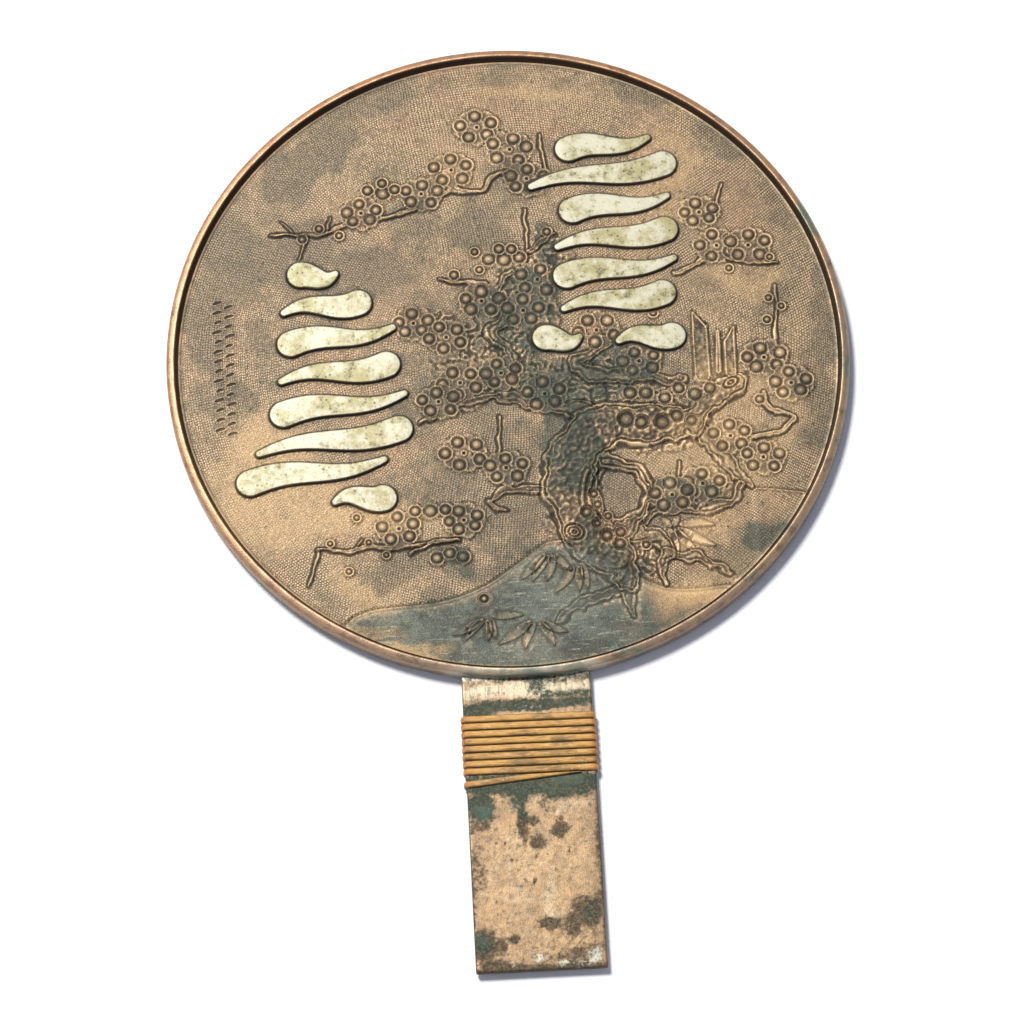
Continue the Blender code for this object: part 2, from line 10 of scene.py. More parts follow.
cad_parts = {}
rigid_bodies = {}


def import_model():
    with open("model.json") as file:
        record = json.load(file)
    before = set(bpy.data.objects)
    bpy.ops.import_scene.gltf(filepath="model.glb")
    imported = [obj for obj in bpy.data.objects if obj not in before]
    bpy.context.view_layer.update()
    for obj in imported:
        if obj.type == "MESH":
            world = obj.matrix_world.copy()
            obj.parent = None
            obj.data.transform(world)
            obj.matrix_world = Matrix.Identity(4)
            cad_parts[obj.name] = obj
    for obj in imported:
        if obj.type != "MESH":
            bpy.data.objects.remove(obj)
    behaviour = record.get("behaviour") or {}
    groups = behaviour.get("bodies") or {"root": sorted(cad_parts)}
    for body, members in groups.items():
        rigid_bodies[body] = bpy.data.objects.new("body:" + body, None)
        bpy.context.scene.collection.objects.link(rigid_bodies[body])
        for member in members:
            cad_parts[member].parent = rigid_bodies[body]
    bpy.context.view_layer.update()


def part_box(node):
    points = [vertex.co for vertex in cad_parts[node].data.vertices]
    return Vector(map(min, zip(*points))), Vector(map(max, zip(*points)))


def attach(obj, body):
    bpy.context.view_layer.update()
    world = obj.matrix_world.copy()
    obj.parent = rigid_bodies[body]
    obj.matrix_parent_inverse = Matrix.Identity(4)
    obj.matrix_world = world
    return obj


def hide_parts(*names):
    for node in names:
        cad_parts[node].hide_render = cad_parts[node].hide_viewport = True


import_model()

started = time.time()

# Plan lengths are in millimetres from the middle of the disc, x to the right and y away from
# the handle. Heights are in millimetres above the floor.
mm = 0.001
mirrorLow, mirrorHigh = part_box("bronze_mirror")

mirror = {
    "discRadius": 106.0,
    "rimWidth": 2.3,          # crest of the rim to the outer wall
    "rimSlope": 1.3,          # lean of the rim's inner wall
    "rimHeight": 2.4,
    "plate": 2.7,
    "faceEdge": 1.1,
    "faceFlat": 0.26,         # share of the radius that is flat in the middle of the polished face
    "handleHalf": 19.5,
    "handleThickness": 2.4,
    "handleRound": 0.5,       # how far its long edges are rounded
    "handleCorner": 0.8,      # radius of the corners at its end
    "handleSteps": 0.8,       # distance between points along its edges
    "handleGrid": 0.9,        # and over its back
    "rimSteps": 740,
    "pocketDepth": 0.9,       # the field's pieces reach this far down into the plate
    "footRun": 0.3,           # from the disc's edge to where the handle's flat back starts
    "seamAngles": (100.0, 220.0, 340.0),  # where the field is cut into pieces, in degrees
}
centreY = mirrorHigh.y / mm - mirror["discRadius"]
handleEnd = mirrorLow.y / mm - centreY
fieldZ = mirror["faceEdge"] + mirror["plate"]
handleTop = mirror["faceEdge"] + mirror["handleThickness"]
fieldRadius = mirror["discRadius"] - mirror["rimWidth"] - mirror["rimSlope"]
footRadius = mirror["discRadius"] + mirror["footRun"]

# Relief: places on the plan, as in the solid. Blossoms: middle, and turn in degrees.
blossoms = (
    (-14.6, 65.0, 0), (-24.4, 57.2, 0), (-43.6, 51.5, 4), (-5.8, 79.6, 0), (4.2, 71.3, -12),
    (9.0, 60.8, 0),
    (-28.8, 12.7, 0), (-18.8, 7.4, 20), (10.6, 25.7, -8), (-7.2, 19.2, 0), (5.6, 15.3, -6),
    (-15.2, -8.2, 25), (-22.2, -14.2, 10), (-2.4, -5.6, 12), (10.8, -13.3, 0),
    (28.0, 7.4, 30), (40.6, -3.8, 18), (62.6, 46.2, 8), (67.3, 34.4, 10), (77.2, 34.0, 0),
    (79.4, -4.6, 12), (87.2, -13.6, 0), (67.2, -30.4, 0), (76.8, -38.0, 0), (57.6, -45.8, 0),
    (48.0, -49.0, 0),
    (-15.2, -31.8, 20), (-2.4, -37.4, 6), (-16.2, -54.0, 14), (-36.2, -55.8, 0),
)
# Single petals and buds: middle and radius.
pearls = (
    (-41.3, 59.3, 1.7), (-36.5, 58.0, 2.3), (-36.6, 61.6, 1.5), (-32.7, 59.2, 1.6),
    (-4.3, 33.5, 2.1), (0.5, 33.0, 2.3), (5.3, 33.6, 1.9), (-0.9, 36.9, 1.6), (3.0, 36.6, 1.6),
    (-31.0, -50.2, 1.7), (-26.3, -50.4, 2.2), (-21.7, -50.2, 1.7),
    (35.6, -23.2, 2.3), (40.0, -24.4, 1.8), (46.6, -24.8, 2.1), (51.2, -22.8, 1.8), (55.6, -24.6, 1.6),
    (37.2, -14.4, 2.0), (42.1, -14.6, 2.1), (47.8, -16.6, 1.9), (52.3, -13.6, 1.8),
    (57.2, -15.7, 2.2), (62.0, -14.0, 1.8), (27.3, -61.4, 1.6), (31.5, -60.5, 1.5),
    (31.2, -64.3, 1.6), (77.0, -18.6, 1.4), (-11.3, -80.0, 1.2), (-57.0, 46.8, 1.3),
    (-62.4, 43.4, 1.3), (-50.8, 44.1, 1.2), (82.2, 15.6, 1.1), (86.0, 12.6, 1.0),
    (81.2, 8.2, 1.2), (-15.4, 28.6, 1.5), (-25, -66, 1.9), (-21, -64.6, 1.8), (-17, -66, 1.9),
    (-52, -69, 1.0),
    (-49, -51.5, 1.0), (39, -65, 1.2), (24, -47.5, 1.1), (25, -51, 1.1), (28, -55, 1.1), (21.6, -53.4, 1.4),
    (24.6, -57.2, 1.0), (-45.6, -59.8, 0.9), (-40.4, -64.2, 0.9), (-57.4, -59.6, 0.9), (-8.6, 36.2, 1.2),
    (14.4, 42.0, 1.3), (-7.4, 30.0, 1.2), (70.6, 26.4, 1.1), (83.6, 29.6, 1.0), (46.0, 12.4, 1.2),
)
# Trunk, limbs, twigs and broken stubs: points with the half width there.
trunkRoutes = (
    ((33, -78, 3.0), (30, -70, 6.0), (25, -64, 8.5), (20, -57, 8.0), (18, -49, 8.6),
     (17, -40, 8.4), (21, -31, 8.0), (29, -25, 7.6), (38, -25, 6.8), (48, -25, 6.0), (57, -25, 4.2)),
    ((56, -24, 4.0), (62, -18, 3.8), (70, -13, 3.4)),
    ((29, -37, 2.4), (35, -38.5, 2.0), (39.6, -42.5, 1.9), (41, -49, 1.8), (38, -55, 2.2),
     (31, -60, 4.0)),
)
limbRoutes = (
    ((56, -26, 3.0), (60, -32, 2.4), (65, -38, 2.0), (69.5, -45, 1.6), (72.5, -48.2, 0.8)),
    ((69.5, -46, 1.2), (66, -51.5, 1.4), (58, -54.5, 1.5), (50, -53.6, 1.3), (42, -54.6, 1.3),
     (36, -59, 1.8)),
    ((10, -45.5, 1.6), (2, -44.4, 1.2), (-4, -45.6, 1.1), (-8.4, -48.4, 1.0), (-3, -51.6, 0.6)),
    ((33, -76, 2.6), (29, -80, 2.0), (20, -82.5, 1.8), (11, -88.5, 0.8)),
    ((32, -76, 2.4), (33, -82, 1.6), (34.5, -88, 0.7)),
    ((36, -61, 3.4), (43, -63, 2.4), (47, -68.5, 2.0), (55, -70, 1.8), (64, -76, 0.8)),
    ((46, -68, 1.8), (43, -72, 1.3), (44.5, -78, 0.7)),
    ((24, -20, 3.2), (14, -18, 2.6), (6, -15.4, 2.2), (-3, -13.6, 1.5), (-12, -14.4, 1.1),
     (-28, -21, 0.6)),
    ((-1, -10, 1.8), (1, 0, 1.6), (-4, 8, 1.8), (0.5, 15, 1.5), (-2.5, 23, 1.2), (3, 29, 0.7)),
    ((54, -11, 1.6), (42, -9.4, 1.6), (30, -8, 2.4), (21, -3, 2.2), (32, 2.4, 1.0)),
    ((15, 60.4, 1.0), (3, 63.4, 0.9), (-2, 61.4, 0.9), (-5.6, 57.0, 0.9), (-16, 57.6, 0.9),
     (-26, 52.4, 0.9), (-36, 49.8, 0.8), (-50, 47.4, 0.9), (-56, 44.8, 0.7), (-72, 45.4, 0.4)),
    ((54, 25.4, 0.7), (60, 28.2, 1.0), (66, 31.0, 0.9), (75, 28.6, 0.9), (86, 27.4, 0.4)),
    ((78.6, -16, 0.6), (79.6, -21.4, 0.9), (87.4, -25.4, 1.0), (81.4, -30.4, 1.0), (73, -31.0, 0.8)),
    ((-61, -61.4, 0.6), (-52, -62.4, 0.8), (-45, -61.2, 0.7), (-38, -62.0, 0.8), (-18, -60.4, 0.5)),
    ((-20, 27.8, 0.5), (-12, 25.6, 0.9), (-6, 25.2, 0.9)),
    ((-33, -64, 0.4), (-26, -61, 0.7), (-18, -60.5, 0.5)),
    ((9, 36, 0.9), (13, 38.6, 1.3), (17, 41, 0.4)),
)
twigRoutes = (
    ((8.0, 50, 0.3), (7.6, 33, 0.6)),
    ((14.0, 76, 0.3), (15.4, 60, 0.6)),
    ((84.6, 20, 0.3), (83.2, -1, 0.6)),
    ((-60.6, 44, 0.4), (-64.6, 34, 0.3)),
    ((-60.8, -62, 0.5), (-64.6, -73, 0.3)),
    ((70.4, 56, 0.3), (67.4, 46, 0.5)),
    ((51.2, -38, 0.3), (50.0, -45, 0.6)),
    ((-3.6, -20, 0.3), (-4.6, -34, 0.6)),
    ((38.6, 7, 0.3), (39.2, 1.5, 0.7)),
    ((-69, 49.6, 0.3), (-65.4, 45.6, 0.5)),
    ((-53.6, 50.6, 0.3), (-54.6, 45.6, 0.5)),
    ((-48, -58.6, 0.3), (-49.6, -62, 0.5)),
    ((30.5, 14.6, 0.3), (29.4, 10.4, 0.7)),
)
stubRoutes = (
    ((60.0, -9.5, 2.6), (60.0, 6.0, 2.5), (58.2, 11.8, 0.5)),
    ((65.0, -8.5, 1.0), (65.6, 5.0, 0.7)),
    ((68.8, -9.0, 1.9), (69.0, 1.0, 1.9), (70.6, 6.2, 0.5)),
)
# Bamboo grass: root and tip of each leaf.
leafEnds = (
    (8, -66.5, 0.5, -74.5), (9, -67, 3.5, -75.5), (10, -66.5, 8, -75.5), (11, -66.5, 16.5, -72.5),
    (16.5, -71, 10.5, -79.2), (18.4, -71, 17.8, -79.4), (19.4, -70.6, 20.6, -78.6),
    (-12, -86.6, -21.5, -91.5), (-11.6, -87, -17.8, -93.6), (-10.6, -87, -10.8, -93.8),
    (-9.4, -87, -8.2, -93.2), (-9, -86, 0.5, -86),
    (2.6, -88, -7.4, -95.2), (3.6, -88.6, 0.4, -97), (5, -88.8, 9.4, -96.4), (6, -88.4, 13.6, -92.2),
    (46.4, -60, 48.4, -70), (48, -60.4, 54.5, -69), (49, -60, 60.5, -66.4), (49.5, -59, 60.5, -59.6),
    (46.8, -59.6, 44.2, -56.4), (48, -59.2, 49.6, -55.8),
)
nearHill = (
    (-56, -90), (-52, -85), (-44, -82), (-25, -80.6), (-11, -76.2), (0, -69), (11, -62.4),
    (24, -68), (44, -79.4), (64, -79.8), (72, -82),
)
farHill = ((64, -76), (58, -70), (60, -60), (70, -50), (75, -48.4), (92, -51))
# Two groups of raised strokes: left end, right end and middle height of each.
strokeRows = (
    ((19, 49, 71), (8.5, 56, 61), (19, 54, 50), (16, 55, 39), (16, 55, 28), (17, 53, 17.5),
     (8.5, 23, 4.5), (34, 55, 4.5)),
    ((-67, -52, 30), (-70, -42, 20), (-71, -34, 9), (-72, -34, -2.5), (-74, -31, -14), (-80, -31, -25.5),
     (-85, -38, -36), (-56, -37, -45)),
)

relief = {
    "petalRadius": 1.9,
    "petalReach": (5.2, 3.6),
    "petalRise": 0.66,
    "lipWidth": 0.72,
    "lipRise": 0.36,
    "strokeRise": 0.9,
    "strokeRun": 0.18,
    "strokeHalf": 4.5,
    "strokeSlant": 0.17,
    "strokeWave": 1.6,
    "strokeTaper": 0.72,
    "moat": 0.8,              # smooth ground round each stroke
    "limbRise": 0.55,
    "trunkRise": 1.15,
    "hillRise": 0.4,
    "stipplePitch": 0.86,
    "stippleDepth": 0.26,
    "columnX": -88.0,
    "columnTop": 23.0,
    "columnStep": 3.3,
    "columnRows": 14,
    "columnDepth": 0.3,
}


def ramp(t, low, high):
    u = np.clip((t - low) / (high - low), 0, 1)
    return u * u * (3 - 2 * u)


def bell(t, width):
    return np.clip(1 - (t / width) ** 2, 0, 1) ** 2


def mix(a, b, share):
    return a + (b - a) * share


def valueNoise(x, y, size, seed):
    # smooth noise from -1 to 1 on a grid of that size
    u, v = x / size + 37.7 * seed, y / size - 19.3 * seed
    i, j = np.floor(u), np.floor(v)
    fu, fv = u - i, v - j
    fu, fv = fu * fu * (3 - 2 * fu), fv * fv * (3 - 2 * fv)

    def corner(a, b):
        h = np.sin(a * 127.1 + b * 311.7 + seed * 74.7) * 43758.5453
        return 2 * (h - np.floor(h)) - 1

    low = mix(corner(i, j), corner(i + 1, j), fu)
    high = mix(corner(i, j + 1), corner(i + 1, j + 1), fu)
    return mix(low, high, fv)


def fractalNoise(x, y, size, seed):
    total, weight = 0.0, 1.0
    for k in range(3):
        total = total + weight * valueNoise(x, y, size / 2 ** k, seed + k)
        weight *= 0.5
    return total


def ringPoints(x, y, radius, count, phase=0.0):
    a = phase + 2 * math.pi * np.arange(count) / count
    return np.stack([x + radius * np.cos(a), y + radius * np.sin(a)], axis=1)


def smoothRoute(points, spacing):
    # Catmull-Rom curve through rows of numbers
    rows = [points[0], *points, points[-1]]
    out = []
    for a, b, c, d in zip(rows, rows[1:], rows[2:], rows[3:]):
        steps = max(1, round(math.dist(b[:2], c[:2]) / spacing))
        for i in range(steps):
            t = i / steps
            w = (2 * t**2 - t - t**3, 2 - 5 * t**2 + 3 * t**3, t + 4 * t**2 - 3 * t**3, t**3 - t**2)
            out.append([sum(k * v for k, v in zip(w, column)) / 2 for column in zip(a, b, c, d)])
    out.append(list(points[-1]))
    return np.array(out)


def outlineOf(route, inset=0.0, capSteps=5):
    # closed outline of a band, that far inside its edge
    x, y, half = route.T
    dx, dy = np.gradient(x), np.gradient(y)
    length = np.hypot(dx, dy)
    w = np.maximum(half - inset, 0.2 * half)
    left = np.stack([x - dy / length * w, y + dx / length * w], axis=1)
    right = np.stack([x + dy / length * w, y - dx / length * w], axis=1)
    caps = []
    for at, start in ((-1, left[-1]), (0, right[0])):
        first = math.atan2(start[1] - y[at], start[0] - x[at])
        a = first - math.pi * np.arange(1, capSteps + 1) / (capSteps + 1)
        caps.append(np.stack([x[at] + w[at] * np.cos(a), y[at] + w[at] * np.sin(a)], axis=1))
    return np.concatenate([left, caps[0], right[::-1], caps[1]])


def bandField(x, y, route):
    # depth inside the band, distance along it and offset to its side
    depth = np.full(x.shape, -1e9)
    along = np.zeros(x.shape)
    side = np.zeros(x.shape)
    done = 0.0
    for (x0, y0, w0), (x1, y1, w1) in zip(route, route[1:]):
        dx, dy = x1 - x0, y1 - y0
        length = math.hypot(dx, dy)
        t = np.clip(((x - x0) * dx + (y - y0) * dy) / length**2, 0, 1)
        away = np.hypot(x - x0 - t * dx, y - y0 - t * dy)
        here = w0 + t * (w1 - w0) - away
        closer = here > depth
        depth = np.where(closer, here, depth)
        along = np.where(closer, done + t * length, along)
        cross = (dx * (y - y0) - dy * (x - x0)) / length
        side = np.where(closer, np.copysign(away, cross), side)
        done += length
    return depth, along, side


class Shape:
    # one form of the relief: its reach on the plan, how deep a point lies in it, how it changes the
    # height there, and how dark it is: dark patina, and painted shade in the grooves round it
    def __init__(self, points, margin, depth, paint, patinaAndShade=None):
        points = np.asarray(points)
        self.low = points.min(axis=0) - margin
        self.high = points.max(axis=0) + margin
        self.depth = depth
        self.paint = paint
        self.patinaAndShade = patinaAndShade

    def near(self, x, y):
        return np.nonzero(
            (x > self.low[0]) & (x < self.high[0]) & (y > self.low[1]) & (y < self.high[1])
        )[0]


shapes = []
reliefPoints = []         # loose points that the surface passes through
reliefLines = []          # (points, closed): lines that the surface's edges follow
strokeShapes = []


def addPoints(points):
    reliefPoints.append(np.asarray(points))


def addLine(points, closed=False):
    reliefLines.append((np.asarray(points), closed))


def resampled(points, spacing, closed=False):
    # points evenly spaced along a line
    points = np.asarray(points, dtype=float)
    if closed:
        points = np.concatenate([points, points[:1]])
    at = np.concatenate([[0], np.cumsum(np.hypot(*np.diff(points, axis=0).T))])
    count = max(2, int(round(at[-1] / spacing)))
    wanted = np.linspace(0, at[-1], count + 1)
    out = np.stack([np.interp(wanted, at, points[:, k]) for k in range(2)], axis=1)
    return out[:-1] if closed else out


def addOutlines(route, insets, spacing=0.5, capSteps=1):
    for inset in insets:
        addLine(resampled(outlineOf(route, inset, capSteps), spacing, closed=True), closed=True)


def petalHeight(d, radius, z):
    dome = 0.86 * radius
    knots = np.array([0, 0.3, 0.6, 0.82, 1.0, 1.14]) * dome
    rise = np.array([0.7, 0.66, 0.5, 0.28, -0.02, 0.04]) * relief["petalRise"]
    return mix(z, np.interp(d, knots, rise), 1 - ramp(d, dome * 1.08, dome * 1.2 + 0.1))


def petalPatinaAndShade(d, radius):
    # patina and painted shade in the groove round the foot of a dome, half dark patina over it, and a
    # lighter top that is wear and a painted highlight
    dome = 0.86 * radius
    return 0.6 + 0.38 * bell(d - dome, 0.4) - 0.34 * bell(d - 0.1, 0.4 * dome)


def petalPoints(x, y, radius):
    addPoints([(x, y)])
    for share, count in ((0.26, 6), (0.52, 11), (0.72, 15), (0.87, 19), (1.0, 20)):
        addPoints(ringPoints(x, y, share * radius, count))
    for more, count in ((0.3, 22), (0.56, 24), (0.8, 24), (1.1, 24)):
        addPoints(ringPoints(x, y, radius + more, count))


def addBlossom(x, y, turn, seed):
    size = 1 + 0.05 * math.sin(5.1 * seed)
    radius = relief["petalRadius"] * size
    reachX, reachY = (size * v for v in relief["petalReach"])
    first = math.pi / 2 + math.radians(turn)
    front = ringPoints(0, 0, 1, 5, first) * (reachX, reachY) + (x, y)
    front += 0.45 * np.sin(np.arange(10).reshape(5, 2) * 2.3 + seed * 1.7)
    radii = radius * (1 + 0.1 * np.sin(np.arange(5) * 2.9 + seed * 2.3))
    back = ringPoints(0, 0, 1, 5, first + math.pi / 5) * (reachX * 0.96, reachY * 1.22) + (x, y)
    lip = radius + relief["lipWidth"]
    lipBehind = lip - 0.5

    def union(px, py, middles, r):
        best = 2.6 * size - np.hypot(px - x, py - y)
        for mx, my in middles:
            best = np.maximum(best, r - np.hypot(px - mx, py - my))
        return best

    def depth(px, py):
        return np.maximum(union(px, py, front, lip), union(px, py, back, lipBehind))

    def paint(px, py, z):
        behind = union(px, py, back, lipBehind)
        z = mix(z, 0.14, ramp(behind, -0.2, 0.15)) + 0.24 * bell(behind - 0.3, 0.34)
        before = union(px, py, front, lip)
        z = mix(z, 0.16, ramp(before, -0.15, 0.15)) + (relief["lipRise"] - 0.16) * bell(before - 0.32, 0.36)
        for (mx, my), r in zip(front, radii):
            z = petalHeight(np.hypot(px - mx, py - my), r, z)
        d = np.hypot(px - x, py - y)
        eye = np.interp(d, (0, 0.35, 0.6, 0.85, 1.15), (-0.12, -0.02, 0.36, 0.4, 0.2))
        return mix(z, eye, 1 - ramp(d, 1.0, 1.4))

    def patinaAndShade(px, py):
        # patina, and painted shade at the feet of the lips and petals
        behind = union(px, py, back, lipBehind)
        before = union(px, py, front, lip)
        dark = 0.1 + 0.5 * bell(behind + 0.1, 0.35) + 0.2 * bell(behind - 0.85, 0.35)
        dark = mix(dark, 0.08 + 0.62 * bell(before + 0.05, 0.38), ramp(before, -0.35, -0.1))
        for (mx, my), r in zip(front, radii):
            d = np.hypot(px - mx, py - my)
            dark = mix(dark, petalPatinaAndShade(d, r), 1 - ramp(d, 0.9 * r, 1.12 * r))
        d = np.hypot(px - x, py - y)
        return mix(dark, 0.9 * (1 - ramp(d, 0.3, 0.6)) + 0.1, 1 - ramp(d, 0.8, 1.2))

    shapes.append(Shape(np.concatenate([front, back]), lip + 0.8, depth, paint, patinaAndShade))
    for (mx, my), r in zip(front, radii):
        petalPoints(mx, my, r)
    for mx, my in back:
        for r in (lipBehind, lip - 0.82, lip - 1.15):
            ring = ringPoints(mx, my, r, 24)
            addPoints(ring[union(ring[:, 0], ring[:, 1], front, lip) < -0.1])
    addPoints([(x, y)])
    for r, count in ((0.35, 7), (0.62, 10), (0.88, 12), (1.2, 12), (1.7, 12)):
        addPoints(ringPoints(x, y, r, count))


def addPearl(x, y, radius):
    lip = radius + relief["lipWidth"] * 0.95

    def depth(px, py):
        return lip - np.hypot(px - x, py - y)

    def paint(px, py, z):
        d = np.hypot(px - x, py - y)
        z = mix(z, 0.12, ramp(lip - d, -0.15, 0.15)) + 0.3 * bell(lip - d - 0.3, 0.34)
        return petalHeight(d, radius, z)

    def patinaAndShade(px, py):
        # painted shade at the foot of the lip, and the petal's patina and shade inside it
        d = np.hypot(px - x, py - y)
        outside = 0.08 + 0.7 * bell(lip - d + 0.05, 0.36)
        return mix(outside, petalPatinaAndShade(d, radius), 1 - ramp(d, 0.9 * radius, 1.12 * radius))

    shapes.append(Shape([(x, y)], lip + 0.8, depth, paint, patinaAndShade))
    petalPoints(x, y, radius)


def gnarl(x, y, amount, seed):
    # shifts places a little, so that an edge drawn there comes out knotty
    return (
        x + amount * (valueNoise(x, y, 3.1, seed) + 0.5 * valueNoise(x, y, 1.4, seed + 2)),
        y + amount * (valueNoise(x, y, 3.1, seed + 1) + 0.5 * valueNoise(x, y, 1.4, seed + 3)),
    )


def knotty(points, amount, seed):
    # the places that gnarl() brings onto the given ones
    out = points[:, :2].copy()
    for _ in range(4):
        out += 0.7 * (points[:, :2] - np.stack(gnarl(out[:, 0], out[:, 1], amount, seed), axis=1))
    return out


def wandering(route, amount, seed):
    # the same route with an uneven width and a slight sway, as carved wood has
    x, y, half = route.T
    wide = 1 + amount * valueNoise(x, y, 3.1, seed) + 0.6 * amount * valueNoise(x, y, 1.4, seed + 5)
    sway = amount * np.minimum(half, 1.6)
    return np.stack([
        x + sway * valueNoise(x, y, 3.6, seed + 1) + 0.4 * sway * valueNoise(x, y, 1.5, seed + 3),
        y + sway * valueNoise(x, y, 3.6, seed + 2) + 0.4 * sway * valueNoise(x, y, 1.5, seed + 4),
        half * wide,
    ], axis=1)


def addLimb(points, seed, rise):
    route = wandering(smoothRoute(points, 0.7), 0.35, seed)
    wide = route[:, 2].max() > 1.3
    gnarled = 0.75 if wide else 0.4

    def depth(px, py):
        return bandField(*gnarl(px, py, gnarled, seed), route)[0] + 0.6

    def paint(px, py, z):
        inside, along, side = bandField(*gnarl(px, py, gnarled, seed), route)
        z = z - 0.16 * bell(inside + 0.3, 0.42)
        body = rise * (0.62 + 0.2 * valueNoise(along, side * 4, 1.1, seed))
        body = body + 0.3 * rise * ramp(inside, 0.6, 2.4)
        if wide:
            body = body - 0.22 * bell(inside - 0.95, 0.32)
        edge = rise * 1.05 * bell(inside - 0.42, 0.42)
        return np.maximum(z, mix(z, np.maximum(body, edge), ramp(inside, -0.05, 0.35)))

    def patinaAndShade(px, py):
        # painted shade in the grooves along its edges, and patina over it
        inside, along, side = bandField(*gnarl(px, py, gnarled, seed), route)
        dark = 0.9 * bell(inside + 0.3, 0.5) + 0.1
        if wide:
            dark = dark + 0.6 * bell(inside - 0.95, 0.36)
        return dark + 0.2 * ramp(inside, 0.7, 1.2) + 0.2 * np.abs(valueNoise(along, side * 3, 1.3, seed))

    shapes.append(Shape(route[:, :2], route[:, 2].max() + 1.4, depth, paint, patinaAndShade))
    for inset in (-0.75, -0.3, 0.0, 0.38, 0.85):
        if inset < route[:, 2].max():
            outline = resampled(outlineOf(route, inset), 0.5, closed=True)
            addLine(knotty(outline, gnarled, seed), closed=True)
    fillBand(route, 0.55)


def fillBand(route, spacing):
    # sample points all over a band
    low = route[:, :2].min(axis=0) - route[:, 2].max()
    high = route[:, :2].max(axis=0) + route[:, 2].max()
    xs = np.arange(low[0], high[0], spacing)
    ys = np.arange(low[1], high[1], spacing * 0.87)
    gx, gy = np.meshgrid(xs, ys)
    gx = gx + (np.arange(len(ys)) % 2)[:, None] * spacing / 2
    gx, gy = gx.ravel(), gy.ravel()
    keep = bandField(gx, gy, route)[0] > 0.6
    addPoints(np.stack([gx[keep], gy[keep]], axis=1))


def barkOf(x, y):
    # slanting ridges, and thin creases between them
    bark = valueNoise(0.36 * (x + y), 0.8 * (x - y), 0.8, 8) + 0.6 * valueNoise(x, y, 0.9, 10)
    return bark, 1 - ramp(np.abs(valueNoise(x, y * 0.8, 2.1, 9)), 0.0, 0.3)


def addTrunk():
    gnarled, seedOfGnarl = 1.0, 40
    routes = []
    for seed, points in enumerate(trunkRoutes):
        route = smoothRoute(points, 0.8)
        route[:, 2] += 0.6 * valueNoise(*route[:, :2].T, 5.0, seed)
        routes.append(route)

    def inward(px, py):
        wx, wy = gnarl(px, py, gnarled, seedOfGnarl)
        return np.max([bandField(wx, wy, route)[0] for route in routes], axis=0)

    def depth(px, py):
        return inward(px, py) + 0.8

    def paint(px, py, z):
        inside = inward(px, py)
        z = z - 0.2 * bell(inside + 0.4, 0.5)
        bark, crease = barkOf(px, py)
        knobs = bell(valueNoise(px, py, 2.3, 12) - 0.75, 0.5)
        body = relief["trunkRise"] * (0.42 + 0.4 * ramp(inside, 0.4, 5.0))
        body = body + (0.13 * bark + 0.16 * knobs - 0.16 * crease) * ramp(inside, 0.8, 2.2)
        for at, width, height in ((0.45, 0.45, 0.22), (1.15, 0.4, -0.26), (1.8, 0.4, 0.12)):
            body = body + height * bell(inside - at, width)
        return np.maximum(z, mix(z, body, ramp(inside, -0.05, 0.4)))

    def patinaAndShade(px, py):
        # painted shade in its edge grooves and bark creases, and patina over the bark
        inside = inward(px, py)
        bark, crease = barkOf(px, py)
        dark = bell(inside + 0.4, 0.6) + 0.75 * bell(inside - 1.15, 0.4)
        return dark + ramp(inside, 1.4, 2.2) * (0.4 - 0.22 * bark + 0.25 * crease)

    everything = np.concatenate([route[:, :2] for route in routes])
    shapes.append(Shape(everything, 10.0, depth, paint, patinaAndShade))
    for route in routes:
        for inset in (-0.95, -0.4, 0.0, 0.45, 1.15, 1.8):
            if inset < route[:, 2].max() - 0.3:
                outline = resampled(outlineOf(route, inset), 0.5, closed=True)
                addLine(knotty(outline, gnarled, seedOfGnarl), closed=True)
        fillBand(route, 0.42)


def addKnot(x, y, radiusX, radiusY, tilt, rings, rise):
    # oval scar with rings inside it
    c, s = math.cos(math.radians(tilt)), math.sin(math.radians(tilt))

    def share(px, py):
        u, v = c * (px - x) + s * (py - y), -s * (px - x) + c * (py - y)
        return np.hypot(u / radiusX, v / radiusY)

    def depth(px, py):
        return (1 - share(px, py)) * min(radiusX, radiusY)

    def paint(px, py, z):
        d = share(px, py)
        wavy = rise * (0.6 + 0.4 * np.cos(2 * math.pi * rings * d))
        return mix(z, wavy, 1 - ramp(d, 0.92, 1.08))

    def patinaAndShade(px, py):
        # darker in the low rings: patina and painted shade
        d = share(px, py)
        return 0.35 - 0.5 * np.cos(2 * math.pi * rings * d)

    shapes.append(Shape([(x, y)], 1.2 * max(radiusX, radiusY), depth, paint, patinaAndShade))
    for k in range(1, 2 * rings + 1):
        r = k / (2 * rings)
        unit = ringPoints(0, 0, r, int(8 + 26 * r))
        u, v = unit[:, 0] * radiusX, unit[:, 1] * radiusY
        addPoints(np.stack([x + c * u - s * v, y + s * u + c * v], axis=1))


def addArc(x, y, radiusX, radiusY, first, last, rise):
    # narrow ridge with a groove beside it, along part of an oval
    a = np.radians(np.linspace(first, last, 30))
    route = np.stack([x + radiusX * np.cos(a), y + radiusY * np.sin(a), np.full(30, 0.5)], axis=1)
    route[:, :2] += 0.3 * np.stack([valueNoise(*route[:, :2].T, 2.4, k) for k in (7, 8)], axis=1)

    def depth(px, py):
        return bandField(px, py, route)[0] + 0.5

    def paint(px, py, z):
        inside = bandField(px, py, route)[0]
        return z + rise * 0.5 * bell(inside - 0.5, 0.5) - 0.25 * bell(inside + 0.4, 0.5)

    def patinaAndShade(px, py):
        # painted shade in the groove beside the ridge
        return 0.8 * bell(bandField(px, py, route)[0] + 0.35, 0.55) + 0.2

    shapes.append(Shape(route[:, :2], 2.0, depth, paint, patinaAndShade))
    addLine(resampled(route[:, :2], 0.5))
    addOutlines(route, (-0.75, -0.3, 0.15))


